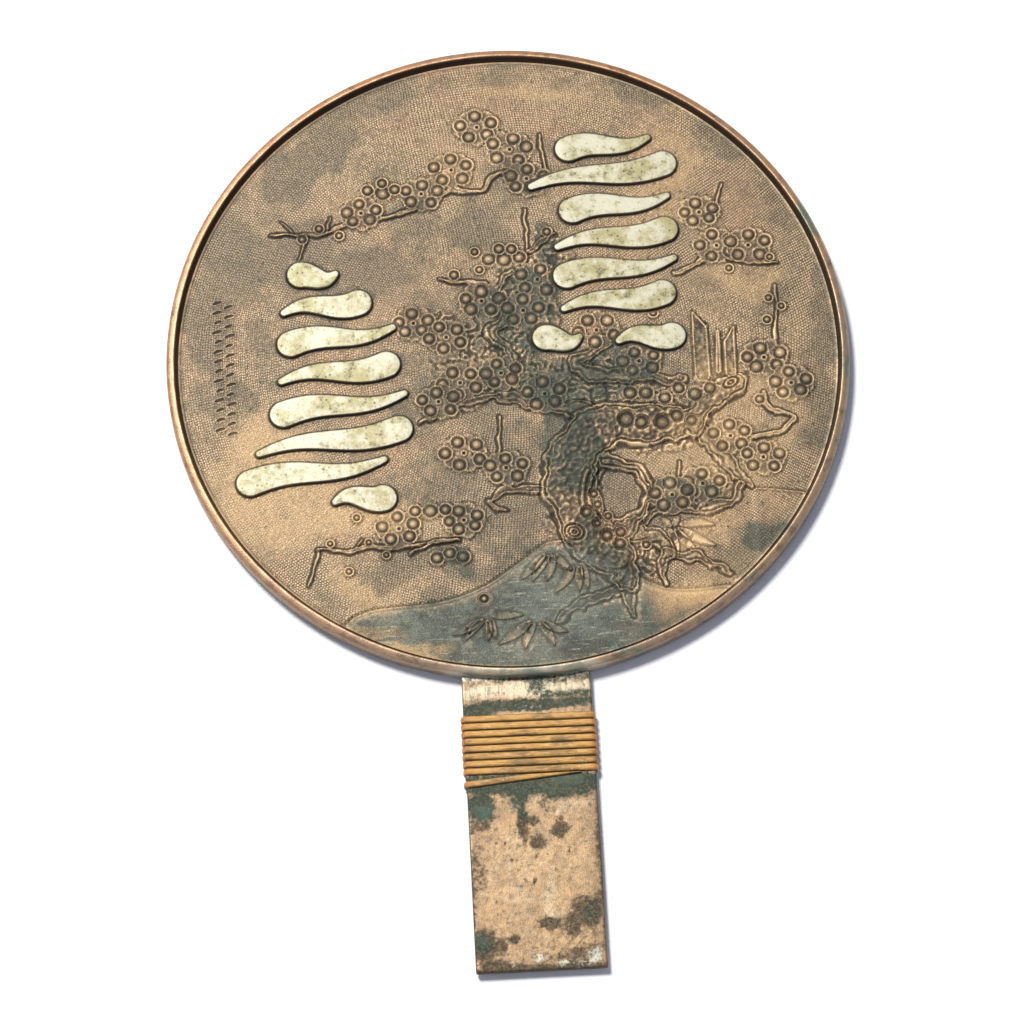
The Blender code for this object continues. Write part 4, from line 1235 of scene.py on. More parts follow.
bodyStains = {
    "green": (
        (0, -139.6, 26, 3.9, 0, 1.5), (-16, -146, 4.5, 5, 0, 1.3), (-4, -144.6, 3, 3, 0, 1.0),
        (9, -142.5, 9, 3, 0, 1.1), (0, -115.4, 24, 1.8, 0, 1.5), (6, -107.4, 10, 1.5, 0, 0.9),
        (-9, -106.8, 9, 1.0, 0, 1.0), (3, -110, 3, 3, 0, 0.8), (16, -107, 5, 1.6, 0, 1.0),
        (12, -112.4, 9, 1.2, 0, 1.0), (-16, -189, 4, 4, 0, 0.7), (15, -181, 3, 4, 0, 0.6),
        (-14, -115.6, 8, 2.6, 0, 1.2), (-3.4, -149, 1.6, 3, 0, 0.8), (105, 0, 4, 40, 0, 0.45),
        (98, 42, 5, 7, 0, 1.2), (106, -14, 3, 12, 0, 0.8), (0, -105, 30, 3, 0, 0.55),
        (-30, -101, 18, 3, 20, 0.4), (34, -100, 18, 3, -20, 0.55), (72, -77, 20, 4, -45, 0.4),
    ),
    "dark": (
        (-3.6, -153, 1.6, 6.5, 0, 1.3), (-1.4, -151.4, 2.8, 1.5, 0, 1.2), (0.6, -158, 2.8, 2.4, 0, 1.2),
        (7.7, -155, 2.6, 2.8, 0, 1.1), (7, -152, 1.6, 1.2, 0, 0.9), (-16, -189.5, 4.8, 5.0, 0, 1.4),
        (-12, -190, 4, 3, 0, 1.0), (-7, -188, 1.4, 1.4, 0, 1.3), (2.6, -183, 3.6, 2.2, 0, 1.4),
        (9.5, -184, 3.0, 4.4, 0, 1.2), (14.4, -181.4, 4.6, 5.6, 20, 1.3), (17.5, -178, 2, 4, 0, 1.0),
        (-15.5, -151.5, 4.5, 2.0, 30, 0.7), (-0.4, -170, 0.6, 0.6, 0, 1.6),
        (-2.8, -169.8, 0.45, 0.4, 0, 1.4), (-7.6, -163.4, 0.5, 0.45, 0, 1.4),
        (-9.7, -158.2, 0.45, 0.5, 0, 1.2), (0.2, -162.8, 0.7, 0.6, 0, 1.3),
        (10.2, -162.4, 0.6, 0.5, 0, 1.2), (0, -197, 24, 1.4, 0, 1.2), (-14, -195.6, 6, 1.8, 0, 0.9),
        (9, -193.4, 9, 2.4, 0, 0.8), (-17.4, -165, 2.4, 8, 0, 0.5), (-19, -180, 1.2, 20, 0, 0.8),
        (18.6, -165, 1.0, 26, 0, 0.7), (4, -146, 3, 3, 0, 0.5), (12, -187, 8, 5, 0, 0.36),
        (-12.6, -158, 0.5, 0.5, 0, 1.1), (5.4, -166.6, 0.5, 0.4, 0, 1.1), (-13, -168, 0.4, 0.4, 0, 1.0),
        (11.5, -172, 0.4, 0.5, 0, 1.0),
    ),
    "paleAndSheen": (
        (-1, -193.8, 1.4, 1.4, 0, 0.75), (5.4, -195.6, 2.0, 1.0, 0, 0.7),
        (15.6, -194.6, 2.4, 2.2, 20, 0.75), (-7.5, -196, 1.0, 0.8, 0, 0.5), (0.5, -115.8, 6, 0.6, 0, 0.4),
        # the band at (0, -104.5) along the rim's edge next to the handle is verdigris with a painted
        # reflection
        (0, -104.5, 34, 2.4, 0, 0.9), (12, -195.5, 8, 2.0, 0, 0.25),
    ),
    "bare": (
        (0, -110.2, 24, 2.8, 0, 1.0), (4, -175, 2.4, 8, -8, 0.4), (-6, -166, 9, 14, 0, 0.2),
        (8, -148, 12, 3, 0, 0.2),
    ),
}


def makeBody():
    # the top first, with rings of points where the rim's profile bends, then the underside
    r, half, steps = mirror["discRadius"], mirror["handleHalf"], mirror["rimSteps"]
    lines = [(planOutline(), True)]
    for run in (0, 0.25, 0.8):
        lines.append((ringPoints(0, 0, fieldRadius + run, steps), True))
    for inset in (2.52, 2.38, 2.18, 1.7, 1.1, 0.8, 0.55, 0.22):
        lines.append((ringPoints(0, 0, r - inset, steps), True))
    for radius in (r, r + 0.1, footRadius):
        spreadAngle = math.asin(half / radius)
        a = np.linspace(-math.pi / 2 - spreadAngle, -math.pi / 2 + spreadAngle, 48)
        lines.append((np.stack([radius * np.cos(a), radius * np.sin(a)], axis=1), False))
    for inset in (0.12, 0.28, 0.5, 1.0):
        lines.append((handleRing(inset), False))
    xs = np.arange(1.6 - half, half - 1.5, mirror["handleGrid"])
    ys = np.arange(handleEnd + 1.9, -r - 0.8, mirror["handleGrid"])
    gx, gy = (values.ravel() for values in np.meshgrid(xs, ys))
    gx = gx + 0.2 * valueNoise(gx, gy, 0.7, 70)
    keep = np.hypot(gx, gy) > r + 0.6
    verts, faces = triangulate(np.stack([gx[keep], gy[keep]], axis=1), lines)
    middle = verts[faces].mean(axis=1)
    hole = fieldRadius * math.cos(math.pi / steps) - 1e-3
    faces = faces[insidePlan(*middle.T) & (np.hypot(*middle.T) > hole)]
    loops = boundaryLoops(faces)
    topLoop = max(loops, key=lambda loop: np.hypot(*verts[loop].T).max())
    fieldLoop = min(loops, key=lambda loop: np.hypot(*verts[loop].T).max())
    top = np.column_stack([verts, bodyTop(*verts.T)])

    underLines = [(verts[topLoop], True)]
    for inset in (0.2, 0.5, 1.5):
        underLines.append((ringPoints(0, 0, r - inset, steps), True))
    for share in (0.96, 0.9, 0.8, 0.7, 0.55, 0.4, 0.26, 0.13):
        underLines.append((ringPoints(0, 0, share * r, max(24, int(6 * share * r))), True))
    for inset in (0.2, 0.5):
        underLines.append((handleRing(inset), False))
    underVerts, underFaces = triangulate(np.array([(0.0, 0.0)]), underLines)
    underFaces = underFaces[insidePlan(*underVerts[underFaces].mean(axis=1).T)]
    under = np.column_stack([underVerts, bodyUnder(*underVerts.T)])

    points = [top, under]
    base, count = len(top), len(topLoop)
    polys = faces.tolist() + [[base + c, base + b, base + a] for a, b, c in underFaces.tolist()]
    rows = [topLoop]          # the outer wall, from the top down to the underside
    size = base + len(under)
    for share in (0.33, 0.66):
        points.append(top[topLoop] + (under[:count] - top[topLoop]) * share)
        rows.append(range(size, size + count))
        size += count
    rows.append(range(base, base + count))
    for upper, lower in zip(rows, rows[1:]):
        polys += wallBetween(upper, lower)
    pocket = top[fieldLoop].copy()
    pocket[:, 2] = fieldZ - mirror["pocketDepth"]
    points.append(pocket)
    low = range(size, size + len(fieldLoop))
    polys += wallBetween(fieldLoop, low)
    polys.append([*low][::-1])
    points = np.concatenate(points)
    used = np.unique(np.concatenate([np.array(p) for p in polys]))
    remap = np.full(len(points), -1)
    remap[used] = np.arange(len(used))
    polys = [remap[np.array(p)].tolist() for p in polys]
    points = points[used]
    body = makeObject("castingBody", placed(*points.T).tolist(), polys)
    mesh = body.data
    middles = np.array([points[p].mean(axis=0) for p in polys])
    onHandle = np.hypot(middles[:, 0], middles[:, 1]) > r + 0.5 * mirror["footRun"]
    kinds = onHandle.astype(np.int32)   # 0 rim, 1 handle, 2 underside
    kinds[len(faces):len(faces) + len(underFaces)] = 2
    mesh.shade_smooth()
    mesh.set_sharp_from_angle(angle=math.radians(50))
    radius = np.hypot(points[:, 0], points[:, 1])
    # the inner wall is darkened: dirt in the recess and painted shade
    addAttribute(mesh, "innerWall", (1 - ramp(radius, r - 2.62, r - 2.36)) * (radius > fieldRadius - 0.01))
    angle = np.arctan2(points[:, 1], points[:, 0])
    # painted light: how far each part of the rim faces the key light; the rim's colour follows it
    lit = np.cos(angle - math.radians(130))
    addAttribute(mesh, "litSide", ramp(lit, -0.75, 0.5))
    x, y = points[:, 0], points[:, 1]
    edge = np.minimum(half - np.abs(x), y - handleEnd)
    onRim = radius < footRadius - 0.1
    # two crest lines, lightened in the rim's colour as wear and a painted highlight
    crests = bell(radius - (r - 2.1), 0.5) + bell(radius - (r - 0.5), 0.4)
    addAttribute(mesh, "ridge", np.where(onRim, crests, bell(edge - 0.1, 0.35)))
    brown = 0.95 * (1 - ramp(edge, 0.0, 6.0)) + 0.5 * ramp(y, -165, -146)
    brown = brown + 0.4 * (1 - ramp(y, -198, -172))
    addAttribute(mesh, "edge", np.clip(brown, 0, 1) * ~onRim)
    for name, stains in bodyStains.items():
        addAttribute(mesh, name, stainField(x, y, stains, 1.0))
    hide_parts("bronze_mirror")
    return body, kinds


castingBody, bodyKinds = makeBody()
print("casting body:", len(castingBody.data.polygons), round(time.time() - started, 1), "s")

# One strip of split cane, wound round the neck. Lengths in millimetres.
cane = {
    "width": 2.24,
    "thickness": 0.7,
    "pitch": 2.37,
    "gap": 0.08,
    "turns": 8,
    "start": 12.5,
    "bend": 1.3,
    "drift": 0.3,
    "stub": 5.0,
    "tailReach": 33.5,
    "tailDrop": 3.7,
    "sliver": 0.3,
    "sectionPoints": 18,
    "topShare": 0.72,         # of those points, the share on the outer side
    "ribs": 13,
    "ribHeight": 0.05,
    "straightSteps": 60,
    "bendSteps": 9,
}


def caneStations():
    # rows along the strip: middle, direction out of the handle, and half width
    half = cane["width"] / 2
    reachX = mirror["handleHalf"] + cane["gap"] + cane["thickness"] / 2
    reachZ = mirror["handleThickness"] / 2 + cane["gap"] + cane["thickness"] / 2
    bend = min(cane["bend"], reachZ)
    middleZ = mirror["faceEdge"] + mirror["handleThickness"] / 2
    firstY = -mirror["discRadius"] - cane["start"]
    slant = cane["pitch"] - cane["drift"]     # of each run below the handle
    inner = reachX - bend
    out = []

    def straight(x0, x1, y0, y1, side):
        for k in range(cane["straightSteps"] + 1):
            t = k / cane["straightSteps"]
            out.append((x0 + (x1 - x0) * t, y0 + (y1 - y0) * t, middleZ + side * reachZ, 0, side, half))

    def corner(signX, signZ, start, y):
        for k in range(1, cane["bendSteps"]):
            a = start - math.pi / 2 * k / cane["bendSteps"]
            u, v = math.cos(a), math.sin(a)
            x, z = signX * inner + bend * u, middleZ + signZ * (reachZ - bend) + bend * v
            out.append((x, y, z, u, v, half))

    stubY = firstY + slant * cane["stub"] / (2 * reachX)
    straight(-inner + cane["stub"], -inner, stubY, firstY, -1)
    for turn in range(cane["turns"]):
        y = firstY - cane["pitch"] * turn
        driftedY, nextY = y - cane["drift"], y - cane["pitch"]
        corner(-1, -1, -math.pi / 2, y)
        corner(-1, 1, math.pi, y)
        straight(-inner, inner, y, driftedY, 1)
        corner(1, 1, math.pi / 2, driftedY)
        corner(1, -1, 0.0, driftedY)
        if turn == cane["turns"] - 1:
            nextY = driftedY - cane["tailDrop"]
        straight(inner, -inner, driftedY, nextY, -1)
    tailY = nextY
    corner(-1, -1, -math.pi / 2, tailY)
    corner(-1, 1, math.pi, tailY)
    lastEdge = firstY - cane["pitch"] * cane["turns"] - cane["drift"] + half
    for k in range(cane["straightSteps"] + 1):
        t = k / cane["straightSteps"]
        lower = tailY - half + (lastEdge - cane["sliver"] * half - tailY + half) * t
        upper = min(tailY + half + (cane["tailDrop"] - half) * t, lastEdge)
        x = -inner + cane["tailReach"] * t
        out.append((x, (upper + lower) / 2, middleZ + reachZ, 0, 1, (upper - lower) / 2))
    return np.array(out)


def makeCane():
    stations = caneStations()
    along = np.concatenate([[0], np.cumsum(np.linalg.norm(np.diff(stations[:, :3], axis=0), axis=1))])
    count = cane["sectionPoints"]
    top = int(count * cane["topShare"])
    u = np.concatenate([np.linspace(-1, 1, top), np.linspace(1, -1, count - top + 2)[1:-1]])
    thick = cane["thickness"] / 2
    crown = thick * (1.9 * np.sqrt(np.clip(1 - np.abs(u) ** 2.6, 0, 1)) - 0.65)
    isTop = np.arange(count) < top
    w = np.where(isTop, crown, -thick)
    rows = []
    fibre = []
    for s, (px, py, pz, ox, oz, h) in zip(along, stations):
        rib = cane["ribHeight"] * np.sin(u * cane["ribs"] + 1.5 * math.sin(0.05 * s)) * isTop * min(1, h)
        uneven = 0.04 * valueNoise(np.full(count, s), u * 0.8, 2.0, 91)
        lift = w + rib + uneven * isTop
        side = py + u * h * (1 + 0.03 * valueNoise(np.array([s]), np.array([0.0]), 4.0, 92)[0])
        rows.append(np.stack([px + ox * lift, side, pz + oz * lift], axis=1))
        fibre.append(u * isTop)
    points = np.concatenate(rows)
    points[:, 2] = np.maximum(points[:, 2], 0.0)
    n = len(stations)
    polys = []
    for i in range(n - 1):
        for k in range(count):
            m = (k + 1) % count
            polys.append([i * count + k, i * count + m, (i + 1) * count + m, (i + 1) * count + k])
    polys.append(list(range(count))[::-1])
    polys.append([(n - 1) * count + k for k in range(count)])
    binding = makeObject("caneBinding", placed(*points.T).tolist(), polys)
    mesh = binding.data
    addAttribute(mesh, "across", np.concatenate(fibre))
    addAttribute(mesh, "along", np.repeat(along, count))
    mesh.shade_smooth()
    mesh.set_sharp_from_angle(angle=math.radians(60))
    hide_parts("cane_binding")
    return binding


caneBinding = makeCane()
print("cane:", len(caneBinding.data.polygons), round(time.time() - started, 1), "s")


def tint(red, green, blue):
    # screen colour, 0 to 255, as the renderer's linear colour
    out = []
    for value in (red, green, blue):
        v = value / 255
        out.append(v / 12.92 if v <= 0.04045 else ((v + 0.055) / 1.055) ** 2.4)
    return (*out, 1.0)


class Net:
    # short way of writing down a node tree
    def __init__(self, tree):
        self.tree = tree

    def make(self, kind, inputs=None, **settings):
        node = self.tree.nodes.new(kind)
        for name, value in settings.items():
            setattr(node, name, value)
        for name, value in (inputs or {}).items():
            self.feed(node.inputs[name], value)
        return node

    def feed(self, socket, value):
        if isinstance(value, bpy.types.NodeSocket):
            self.tree.links.new(value, socket)
        else:
            socket.default_value = value

    def attribute(self, name):
        return self.make("ShaderNodeAttribute", attribute_name=name).outputs["Fac"]

    def place(self):
        return self.make("ShaderNodeTexCoord").outputs["Object"]

    def stretch(self, vector, x, y, z):
        return self.make("ShaderNodeMapping", {"Vector": vector, "Scale": (x, y, z)}).outputs["Vector"]

    def noise(self, vector, size, detail=3.0, rough=0.55):
        # size is in millimetres
        inputs = {"Vector": vector, "Scale": 1000 / size, "Detail": detail, "Roughness": rough}
        return self.make("ShaderNodeTexNoise", inputs).outputs["Fac"]

    def math(self, operation, a, b=0.0):
        return self.make("ShaderNodeMath", {0: a, 1: b}, operation=operation).outputs[0]

    def times(self, a, b):
        return self.math("MULTIPLY", a, b)

    def plus(self, a, b):
        return self.math("ADD", a, b)

    def span(self, value, low, high, first=0.0, last=1.0):
        inputs = {"Value": value, "From Min": low, "From Max": high, "To Min": first, "To Max": last}
        return self.make("ShaderNodeMapRange", inputs, interpolation_type="SMOOTHSTEP").outputs["Result"]

    def lines(self, value, width):
        # thin lines where a noise crosses its middle
        return self.span(self.math("ABSOLUTE", self.math("SUBTRACT", value, 0.5)), width, 0.0)

    def blend(self, share, a, b):
        node = self.make("ShaderNodeMix", data_type="RGBA", blend_type="MIX", clamp_factor=True)
        for index, value in ((0, share), (6, a), (7, b)):
            self.feed(node.inputs[index], value)
        return node.outputs[2]

    def shared(self, group, inputs):
        node = self.make("ShaderNodeGroup", node_tree=group)
        for name, value in inputs.items():
            self.feed(node.inputs[name], value)
        return node.outputs


def newGroup(name, inputs, outputs):
    group = bpy.data.node_groups.new(name, "ShaderNodeTree")
    for direction, sockets in (("INPUT", inputs), ("OUTPUT", outputs)):
        for label, kind in sockets.items():
            group.interface.new_socket(label, in_out=direction, socket_type="NodeSocket" + kind)
    net = Net(group)
    return group, net, net.make("NodeGroupInput").outputs, net.make("NodeGroupOutput").inputs


def stainMaskGroup():
    # ragged-edged mask out of a soft amount
    group, net, inputs, outputs = newGroup(
        "stainMask",
        {"Vector": "Vector", "Amount": "Float", "Softness": "Float", "Size": "Float", "Ragged": "Float"},
        {"Mask": "Float"},
    )
    scale = net.math("DIVIDE", 1000.0, inputs["Size"])
    settings = {"Vector": inputs["Vector"], "Scale": scale, "Detail": 7.0, "Roughness": 0.68}
    wobble = net.make("ShaderNodeTexNoise", settings).outputs["Fac"]
    pull = net.times(net.math("SUBTRACT", wobble, 0.5), inputs["Ragged"])
    level = net.plus(inputs["Amount"], pull)
    low = net.math("SUBTRACT", 0.5, inputs["Softness"])
    high = net.plus(inputs["Softness"], 0.5)
    net.feed(outputs["Mask"], net.span(level, low, high))
    return group


def grainGroup():
    # fine cast grain and slow mottling, both from 0 to 1, and the grain's height for a bump
    group, net, inputs, outputs = newGroup(
        "castGrain", {"Vector": "Vector"}, {"Grain": "Float", "Mottle": "Float", "Height": "Float"}
    )
    fine = net.noise(inputs["Vector"], 0.45, 4.0, 0.65)
    slow = net.noise(inputs["Vector"], 12.0, 6.0, 0.6)
    net.feed(outputs["Grain"], net.span(fine, 0.25, 0.75))
    net.feed(outputs["Mottle"], net.span(slow, 0.32, 0.68))
    net.feed(outputs["Height"], fine)
    return group


def speckGroup():
    # small scattered specks
    group, net, inputs, outputs = newGroup(
        "specks", {"Vector": "Vector", "Size": "Float", "Share": "Float"}, {"Mask": "Float"}
    )
    scale = net.math("DIVIDE", 1000.0, inputs["Size"])
    cells = net.make("ShaderNodeTexVoronoi", {"Vector": inputs["Vector"], "Scale": scale})
    chance = net.make("ShaderNodeSeparateColor", {"Color": cells.outputs["Color"]}).outputs[0]
    kept = net.math("LESS_THAN", chance, inputs["Share"])
    spot = net.span(cells.outputs["Distance"], 0.34, 0.12)
    net.feed(outputs["Mask"], net.times(kept, spot))
    return group


stainMask = stainMaskGroup()
castGrain = grainGroup()
specks = speckGroup()


def stainOf(net, at, name, softness, size, ragged):
    # ragged stain where a painted mark is
    inputs = {"Vector": at, "Amount": net.attribute(name), "Softness": softness, "Size": size}
    return net.shared(stainMask, {**inputs, "Ragged": ragged})["Mask"]


def specksOf(net, at, size, share):
    return net.shared(specks, {"Vector": at, "Size": size, "Share": share})["Mask"]


def newMaterial(name):
    material = bpy.data.materials.new(name)
    material.use_nodes = True
    net = Net(material.node_tree)
    return material, net, material.node_tree.nodes["Principled BSDF"]


def plainMaterial(name, color, metallic, roughness):
    material, _, shader = newMaterial(name)
    shader.inputs["Base Color"].default_value = color
    shader.inputs["Metallic"].default_value = metallic
    shader.inputs["Roughness"].default_value = roughness
    return material


def finish(net, shader, color, metallic, roughness, height, distance):
    # what every material ends with
    net.feed(shader.inputs["Base Color"], color)
    net.feed(shader.inputs["Metallic"], metallic)
    net.feed(shader.inputs["Roughness"], roughness)
    bump = net.make("ShaderNodeBump", {"Height": height, "Distance": distance, "Strength": 1.0})
    net.feed(shader.inputs["Normal"], bump.outputs["Normal"])


fieldLook = {
    "light": tint(200, 163, 110),
    "middle": tint(118, 96, 67),
    "deep": tint(83, 70, 49),
    "warm": tint(142, 96, 66),
    "scuff": tint(176, 172, 146),
    "olive": tint(58, 60, 44),
    "green": tint(40, 62, 48),
    "hill": tint(50, 56, 45),
    "hillPale": tint(100, 106, 92),
    "grime": tint(26, 20, 16),
    "patinaAndShade": tint(36, 32, 27),
    "worn": tint(240, 205, 156),
    "metallic": 0.3,
}


def bronzeFieldMaterial():
    material, net, shader = newMaterial("bronzeField")
    at = net.place()
    grain = net.shared(castGrain, {"Vector": at})
    masks = {}
    for row in (("olive", 0.4, 9.0, 2.4), ("green", 0.3, 5.0, 2.6), ("gold", 0.5, 9.0, 1.4)):
        masks[row[0]] = stainOf(net, at, *row)
    pit, hollow, ridge, patinaAndShade = (net.attribute(k) for k in ("pit", "hollow", "ridge", "patinaAndShade"))
    color = net.blend(grain["Mottle"], fieldLook["deep"], fieldLook["middle"])
    warm = net.span(net.noise(at, 22.0, 4.0, 0.6), 0.45, 0.65)
    color = net.blend(net.times(warm, 0.4), color, fieldLook["warm"])
    color = net.blend(net.times(masks["gold"], 0.8), color, fieldLook["light"])
    patches = net.span(net.noise(at, 6.0, 7.0, 0.72), 0.5, 0.64)
    color = net.blend(net.times(patches, 0.34), color, fieldLook["olive"])
    color = net.blend(net.times(masks["olive"], 0.78), color, fieldLook["olive"])
    color = net.blend(net.times(masks["green"], 0.8), color, fieldLook["green"])
    hill = net.times(net.attribute("hill"), net.span(masks["gold"], 0.2, 0.8, 0.85, 0.2))
    clouds = net.plus(net.times(net.noise(at, 15.0, 6.0, 0.7), 0.6), net.times(patches, 0.1))
    clouds = net.span(clouds, 0.24, 0.4)
    color = net.blend(hill, color, net.blend(clouds, fieldLook["hill"], fieldLook["hillPale"]))
    scuffs = net.span(net.noise(net.stretch(at, 0.13, 1, 1), 0.8, 4.0, 0.6), 0.55, 0.68)
    scuffs = net.times(scuffs, net.span(net.noise(at, 17.0, 4.0, 0.6), 0.42, 0.56))
    dots = specksOf(net, at, 1.9, 0.16)
    scuffs = net.math("MAXIMUM", scuffs, net.times(dots, net.span(net.noise(at, 24.0, 2.0, 0.5), 0.5, 0.6)))
    color = net.blend(net.times(scuffs, net.times(net.attribute("hill"), 0.5)), color, fieldLook["scuff"])
    color = net.blend(net.times(grain["Grain"], 0.36), color, fieldLook["grime"])
    # pits darkened: grime and painted shade in them
    color = net.blend(net.times(net.span(pit, 0.0, 0.36), 0.92), color, fieldLook["grime"])
    # dark marks of the relief: patina, and painted shade in its grooves
    patinaAndShadeAmount = net.times(patinaAndShade, net.span(net.attribute("hill"), 0.0, 1.0, 0.72, 0.36))
    color = net.blend(patinaAndShadeAmount, color, fieldLook["patinaAndShade"])
    # hollows darkened: grime and painted shade in them
    color = net.blend(net.times(hollow, 0.62), color, fieldLook["grime"])
    wear = net.times(ridge, net.span(masks["green"], 0.0, 1.0, 0.85, 0.3))
    wear = net.times(wear, net.span(patinaAndShade, 0.15, 0.75, 1.0, 0.34))
    wear = net.times(wear, net.span(masks["olive"], 0.0, 1.0, 1.0, 0.6))
    color = net.blend(wear, color, fieldLook["worn"])
    roughness = net.plus(net.span(grain["Grain"], 0.0, 1.0, 0.42, 0.6), net.times(patinaAndShade, 0.2))
    finish(net, shader, color, fieldLook["metallic"], roughness, grain["Height"], 0.00008)
    return material


strokeLook = {
    "silver": tint(192, 187, 164),
    "tarnish": tint(150, 140, 84),
    "pit": tint(54, 54, 38),
    "metallic": 0.2,
    "roughness": 0.42,
}


def silverMaterial():
    material, net, shader = newMaterial("silverStroke")
    at = net.place()
    grain = net.shared(castGrain, {"Vector": at})
    cloud = net.noise(at, 11.0, 8.0, 0.7)
    blotch = net.noise(at, 3.4, 8.0, 0.78)
    tarnish = net.span(net.plus(net.times(cloud, 0.6), net.times(blotch, 0.4)), 0.44, 0.57)
    small = specksOf(net, at, 1.5, 0.3)
    cracks = net.lines(net.noise(at, 4.6, 5.0, 0.6), 0.014)
    edge = net.span(net.attribute("stroke"), 0.5, 0.15)
    color = net.blend(net.times(tarnish, 0.85), strokeLook["silver"], strokeLook["tarnish"])
    eaten = net.times(net.span(blotch, 0.54, 0.64), net.times(tarnish, 0.85))
    color = net.blend(eaten, color, strokeLook["pit"])
    color = net.blend(net.times(cracks, net.times(tarnish, 0.5)), color, strokeLook["pit"])
    color = net.blend(net.times(small, net.span(cloud, 0.4, 0.6, 0.3, 0.9)), color, strokeLook["pit"])
    color = net.blend(net.times(grain["Grain"], 0.12), color, strokeLook["tarnish"])
    color = net.blend(net.times(edge, 0.35), color, strokeLook["pit"])
    finish(net, shader, color, strokeLook["metallic"], strokeLook["roughness"], grain["Height"], 0.00004)
    return material


rimLook = {
    "gold": tint(184, 132, 90),
    "paleAndSheen": tint(226, 214, 190),
    "brown": tint(162, 136, 112),
    "crest": tint(212, 176, 130),
    "green": tint(96, 118, 104),
    "wall": tint(44, 36, 28),
    "grime": tint(52, 44, 34),
    "metallic": 0.4,
    "roughness": 0.38,
}


def rimMaterial():
    material, net, shader = newMaterial("bronzeRim")
    at = net.place()
    grain = net.shared(castGrain, {"Vector": at})
    green = stainOf(net, at, "green", 0.35, 5.0, 1.6)
    # painted light: gold on the side of the rim that faces the key light, brown on the side away from it
    color = net.blend(net.attribute("litSide"), rimLook["brown"], rimLook["gold"])
    color = net.blend(net.times(grain["Mottle"], 0.5), color, rimLook["brown"])
    dirt = net.span(net.noise(at, 4.0, 6.0, 0.7), 0.5, 0.66)
    color = net.blend(net.times(dirt, 0.5), color, rimLook["grime"])
    # pale verdigris, and a painted reflection along the rim's edge next to the handle
    color = net.blend(net.times(net.attribute("paleAndSheen"), 0.8), color, rimLook["paleAndSheen"])
    color = net.blend(net.times(green, 0.8), color, rimLook["green"])
    color = net.blend(net.times(grain["Grain"], 0.25), color, rimLook["grime"])
    # crest lines lightened: wear and a painted highlight along them
    worn = net.times(net.attribute("ridge"), net.span(net.noise(at, 7.0, 5.0, 0.65), 0.4, 0.62))
    color = net.blend(net.times(worn, 0.75), color, rimLook["crest"])
    # dark inner wall: dirt in the recess and painted shade
    color = net.blend(net.times(net.attribute("innerWall"), 0.9), color, rimLook["wall"])
    finish(net, shader, color, rimLook["metallic"], rimLook["roughness"], grain["Height"], 0.00006)
    return material


handleLook = {
    "bronze": tint(198, 162, 115),
    "brown": tint(136, 108, 78),
    "bare": tint(206, 192, 162),
    "green": tint(44, 70, 58),
    "teal": tint(70, 100, 86),
    "dark": tint(66, 60, 48),
    "paleAndSheen": tint(196, 198, 184),
    "metallic": 0.4,
    "roughness": 0.42,
}


def handleMaterial():
    material, net, shader = newMaterial("bronzeHandle")
    at = net.place()
    grain = net.shared(castGrain, {"Vector": at})
    down = net.noise(net.stretch(at, 1, 0.12, 1), 1.3, 5.0, 0.65)
    blotch = net.noise(at, 2.6, 6.0, 0.7)
    streaks = net.plus(net.times(blotch, 0.76), net.times(down, 0.24))
    masks = {}
    for row in (
        ("green", 0.5, 1.6, 2.8), ("dark", 0.56, 1.5, 3.2), ("paleAndSheen", 0.22, 0.9, 3.0),
        ("bare", 0.5, 2.2, 2.2), ("edge", 0.6, 5.0, 2.0),
    ):
        masks[row[0]] = stainOf(net, at, *row)
    color = net.blend(net.span(streaks, 0.3, 0.64), handleLook["brown"], handleLook["bronze"])
    color = net.blend(net.times(grain["Mottle"], 0.45), color, handleLook["brown"])
    color = net.blend(net.times(masks["edge"], 0.6), color, handleLook["brown"])
    color = net.blend(net.times(masks["bare"], 0.8), color, handleLook["bare"])
    slanted = {"Vector": at, "Rotation": (0, 0, 0.7), "Scale": (1, 0.07, 1)}
    turned = net.make("ShaderNodeMapping", slanted).outputs["Vector"]
    scratch = net.lines(net.noise(turned, 2.0, 2.0, 0.5), 0.02)
    color = net.blend(net.times(scratch, net.times(masks["bare"], 0.5)), color, handleLook["dark"])
    dots = specksOf(net, at, 2.4, 0.12)
    color = net.blend(net.times(dots, 0.5), color, handleLook["dark"])
    speckle = net.noise(at, 0.8, 5.0, 0.72)
    spotty = net.times(masks["dark"], net.span(speckle, 0.38, 0.58, 0.42, 0.92))
    color = net.blend(spotty, color, handleLook["dark"])
    teal = net.blend(net.span(grain["Mottle"], 0.5, 1.0), handleLook["green"], handleLook["teal"])
    color = net.blend(net.times(masks["green"], net.span(speckle, 0.36, 0.56, 0.6, 0.94)), color, teal)
    # pale specks, and by the disc the end of the painted reflection along the rim's edge
    color = net.blend(net.times(masks["paleAndSheen"], 0.8), color, handleLook["paleAndSheen"])
    color = net.blend(net.times(grain["Grain"], 0.15), color, handleLook["dark"])
    color = net.blend(net.times(net.attribute("ridge"), 0.4), color, handleLook["dark"])
    stained = net.math("MAXIMUM", masks["green"], masks["dark"])
    roughness = net.span(stained, 0.0, 1.0, handleLook["roughness"], 0.75)
    finish(net, shader, color, handleLook["metallic"], roughness, grain["Height"], 0.00006)
    return material


faceLook = {
    "metal": tint(196, 186, 164),
    "brown": tint(132, 110, 80),
    "green": tint(88, 104, 84),
    "metallic": 1.0,
    "roughness": (0.18, 0.5),  # where bright, where tarnished
}


